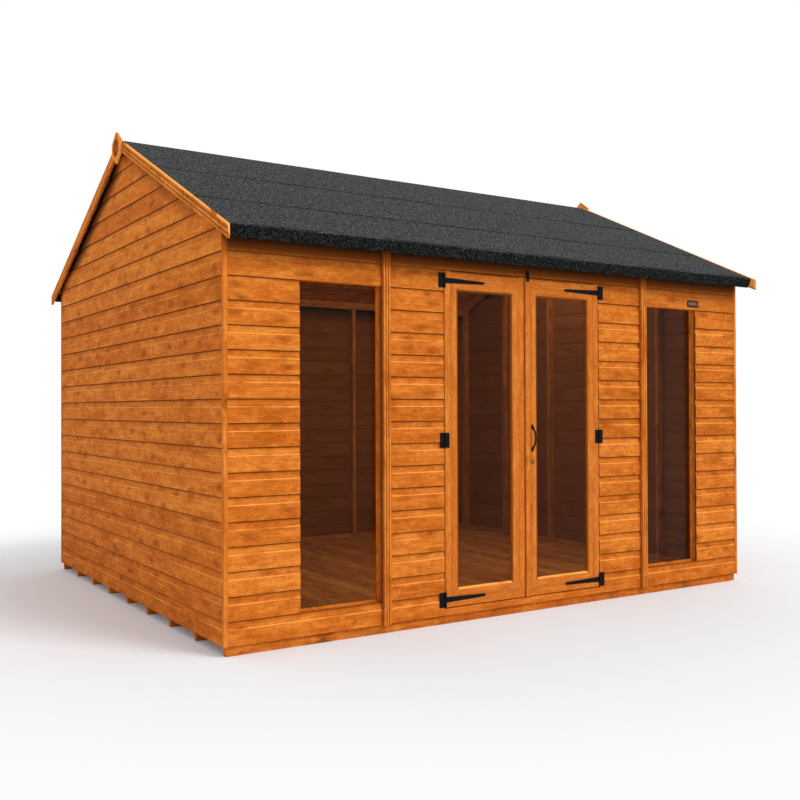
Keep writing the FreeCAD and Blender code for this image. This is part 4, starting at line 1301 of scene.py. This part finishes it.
@dataclass
class Framing:
    """Frame timbers that show through the glass, with the fixed panes."""

    finishes: Finishes

    def build(self) -> None:
        """Give each its grain."""
        f = self.finishes
        dress(f.planed_x, "sole_plates_front_back", "top_plates_front_back", "opening_rails")
        dress(f.planed_y, "sole_plates_gables", "gable_rafters")
        dress(f.planed_z, "front_studs", "back_studs", "gable_studs")
        dress(f.stained_z, "door_stops")
        dress(f.glass, "window_glass")


def seen_rays(tree: NodeTree) -> NodeSocket:
    """Number that is 1 on rays by which the surroundings are seen, directly, mirrored or through glass.

    Args:
        tree: the node tree.

    Returns:
        The number.
    """
    rays = add_node(tree, "LightPath").outputs
    seen = rays["Is Camera Ray"]
    for name in ("Is Glossy Ray", "Is Transmission Ray"):
        seen = add_node(tree, "Math", {0: seen, 1: rays[name]}, operation="MAXIMUM").outputs[0]
    return seen


@dataclass
class Studio:
    """Pale floor, soft light and the photograph's camera."""

    camera_place: tuple = (-3.5835, -5.7509, 1.1590)
    yaw: float = -32.847
    pitch: float = 0.486
    roll: float = -0.205
    focal: float = 43.59
    sensor: float = 36.0
    floor_reach: float = 30.0
    floor_colour: str = "#f0f4f8"
    world_level: float = 0.76
    sun_level: float = 1.4
    sun_angle: float = 24.0
    sun_from: tuple = (0.40, -0.72, 0.80)
    room_level: float = 14.0
    room_place: tuple = (0.3, 0.0, 2.55)

    def add(self, name: str, data: bpy.types.ID) -> bpy.types.Object:
        """Put an object in the scene.

        Args:
            name: the object's name.
            data: its mesh, lamp or camera.

        Returns:
            The object.
        """
        made = bpy.data.objects.new(name, data)
        bpy.context.scene.collection.objects.link(made)
        return made

    def camera(self) -> None:
        """Set the camera at the place and turn that were solved from the photograph's perspective."""
        yaw, pitch, roll = (math.radians(v) for v in (self.yaw, self.pitch, self.roll))
        forward = Vector((-math.sin(yaw) * math.cos(pitch), math.cos(yaw) * math.cos(pitch), math.sin(pitch)))
        level = Vector((math.cos(yaw), math.sin(yaw), 0.0))
        above = level.cross(forward)
        right = level * math.cos(roll) + above * math.sin(roll)
        up = above * math.cos(roll) - level * math.sin(roll)
        data = bpy.data.cameras.new("photo_camera")
        data.lens, data.sensor_width = self.focal, self.sensor
        camera = self.add("photo_camera", data)
        turn = Matrix((right, up, -forward)).transposed().to_4x4()
        camera.matrix_world = Matrix.Translation(self.camera_place) @ turn
        bpy.context.scene.camera = camera

    def floor(self) -> None:
        """Pale floor that fades into the white background away from the building."""
        mesh = bpy.data.meshes.new("studio_floor")
        side = np.linspace(-self.floor_reach, self.floor_reach, 13)
        grid = np.stack(np.meshgrid(side, side, [0.0], indexing="ij"), -1).reshape(-1, 3)
        index = np.arange(len(grid)).reshape(len(side), -1)
        quads = np.stack([index[:-1, :-1], index[1:, :-1], index[1:, 1:], index[:-1, 1:]], -1).reshape(-1, 4)
        mesh.from_pydata(grid, [], quads.tolist())
        made = Recipe("pale_studio_floor")
        tree = made.tree
        made.done(self.floor_colour, 0.9, 0.1)
        far = add_node(tree, "VectorMath", {0: made.spot()}, operation="LENGTH").outputs["Value"]
        fade = add_node(tree, "MapRange", {"Value": far, "From Min": 2.3, "From Max": 5.2, "To Min": 0.06},
                        interpolation_type="SMOOTHSTEP").outputs[0]
        white = add_node(tree, "Emission", {"Strength": 1.0}).outputs[0]
        mix = add_node(tree, "MixShader", {0: made.math("MULTIPLY", fade, seen_rays(tree)),
                                           1: made.shader.outputs[0], 2: white}).outputs[0]
        tree.links.new(mix, tree.nodes["Material Output"].inputs["Surface"])
        mesh.materials.append(made.material)
        floor = self.add("studio_floor", mesh)

    def light(self) -> None:
        """White surroundings, one broad lamp from the front, right and above, and a faint one in the room."""
        world = bpy.data.worlds.new("studio_world")
        bpy.context.scene.world = world
        world.use_nodes = True
        tree = world.node_tree
        tree.nodes.clear()
        level = add_node(tree, "MapRange", {"Value": seen_rays(tree), "To Min": self.world_level,
                                            "To Max": 1.0}).outputs[0]
        back = add_node(tree, "Background", {"Color": (1.0, 1.0, 1.0, 1.0), "Strength": level}).outputs[0]
        add_node(tree, "OutputWorld", {"Surface": back})
        sun = bpy.data.lights.new("broad_lamp", "SUN")
        sun.energy, sun.angle = self.sun_level, math.radians(self.sun_angle)
        turn = Vector(self.sun_from).to_track_quat("Z", "Y").to_matrix().to_4x4()
        self.add("broad_lamp", sun).matrix_world = turn
        glow = bpy.data.lights.new("room_lamp", "AREA")
        glow.shape, glow.size, glow.size_y, glow.energy = "RECTANGLE", 3.0, 0.4, self.room_level
        self.add("room_lamp", glow).location = self.room_place

    def build(self) -> None:
        """Set up the studio."""
        self.camera()
        self.floor()
        self.light()
        bpy.context.scene.view_settings.view_transform = "Standard"


def main() -> None:
    """Build every sub-assembly, then the studio."""
    logging.basicConfig(level=logging.INFO, format="%(name)s %(message)s")
    finishes = Finishes()
    for part in (Boarding(finishes), Trims(finishes), Leaf(finishes, Side.LEFT), Leaf(finishes, Side.RIGHT),
                 Fittings(finishes), Roof(finishes), Floor(finishes), Framing(finishes), Studio()):
        part.build()
        LOG.info("%s done", type(part).__name__)


if __name__ == "__main__":
    main()
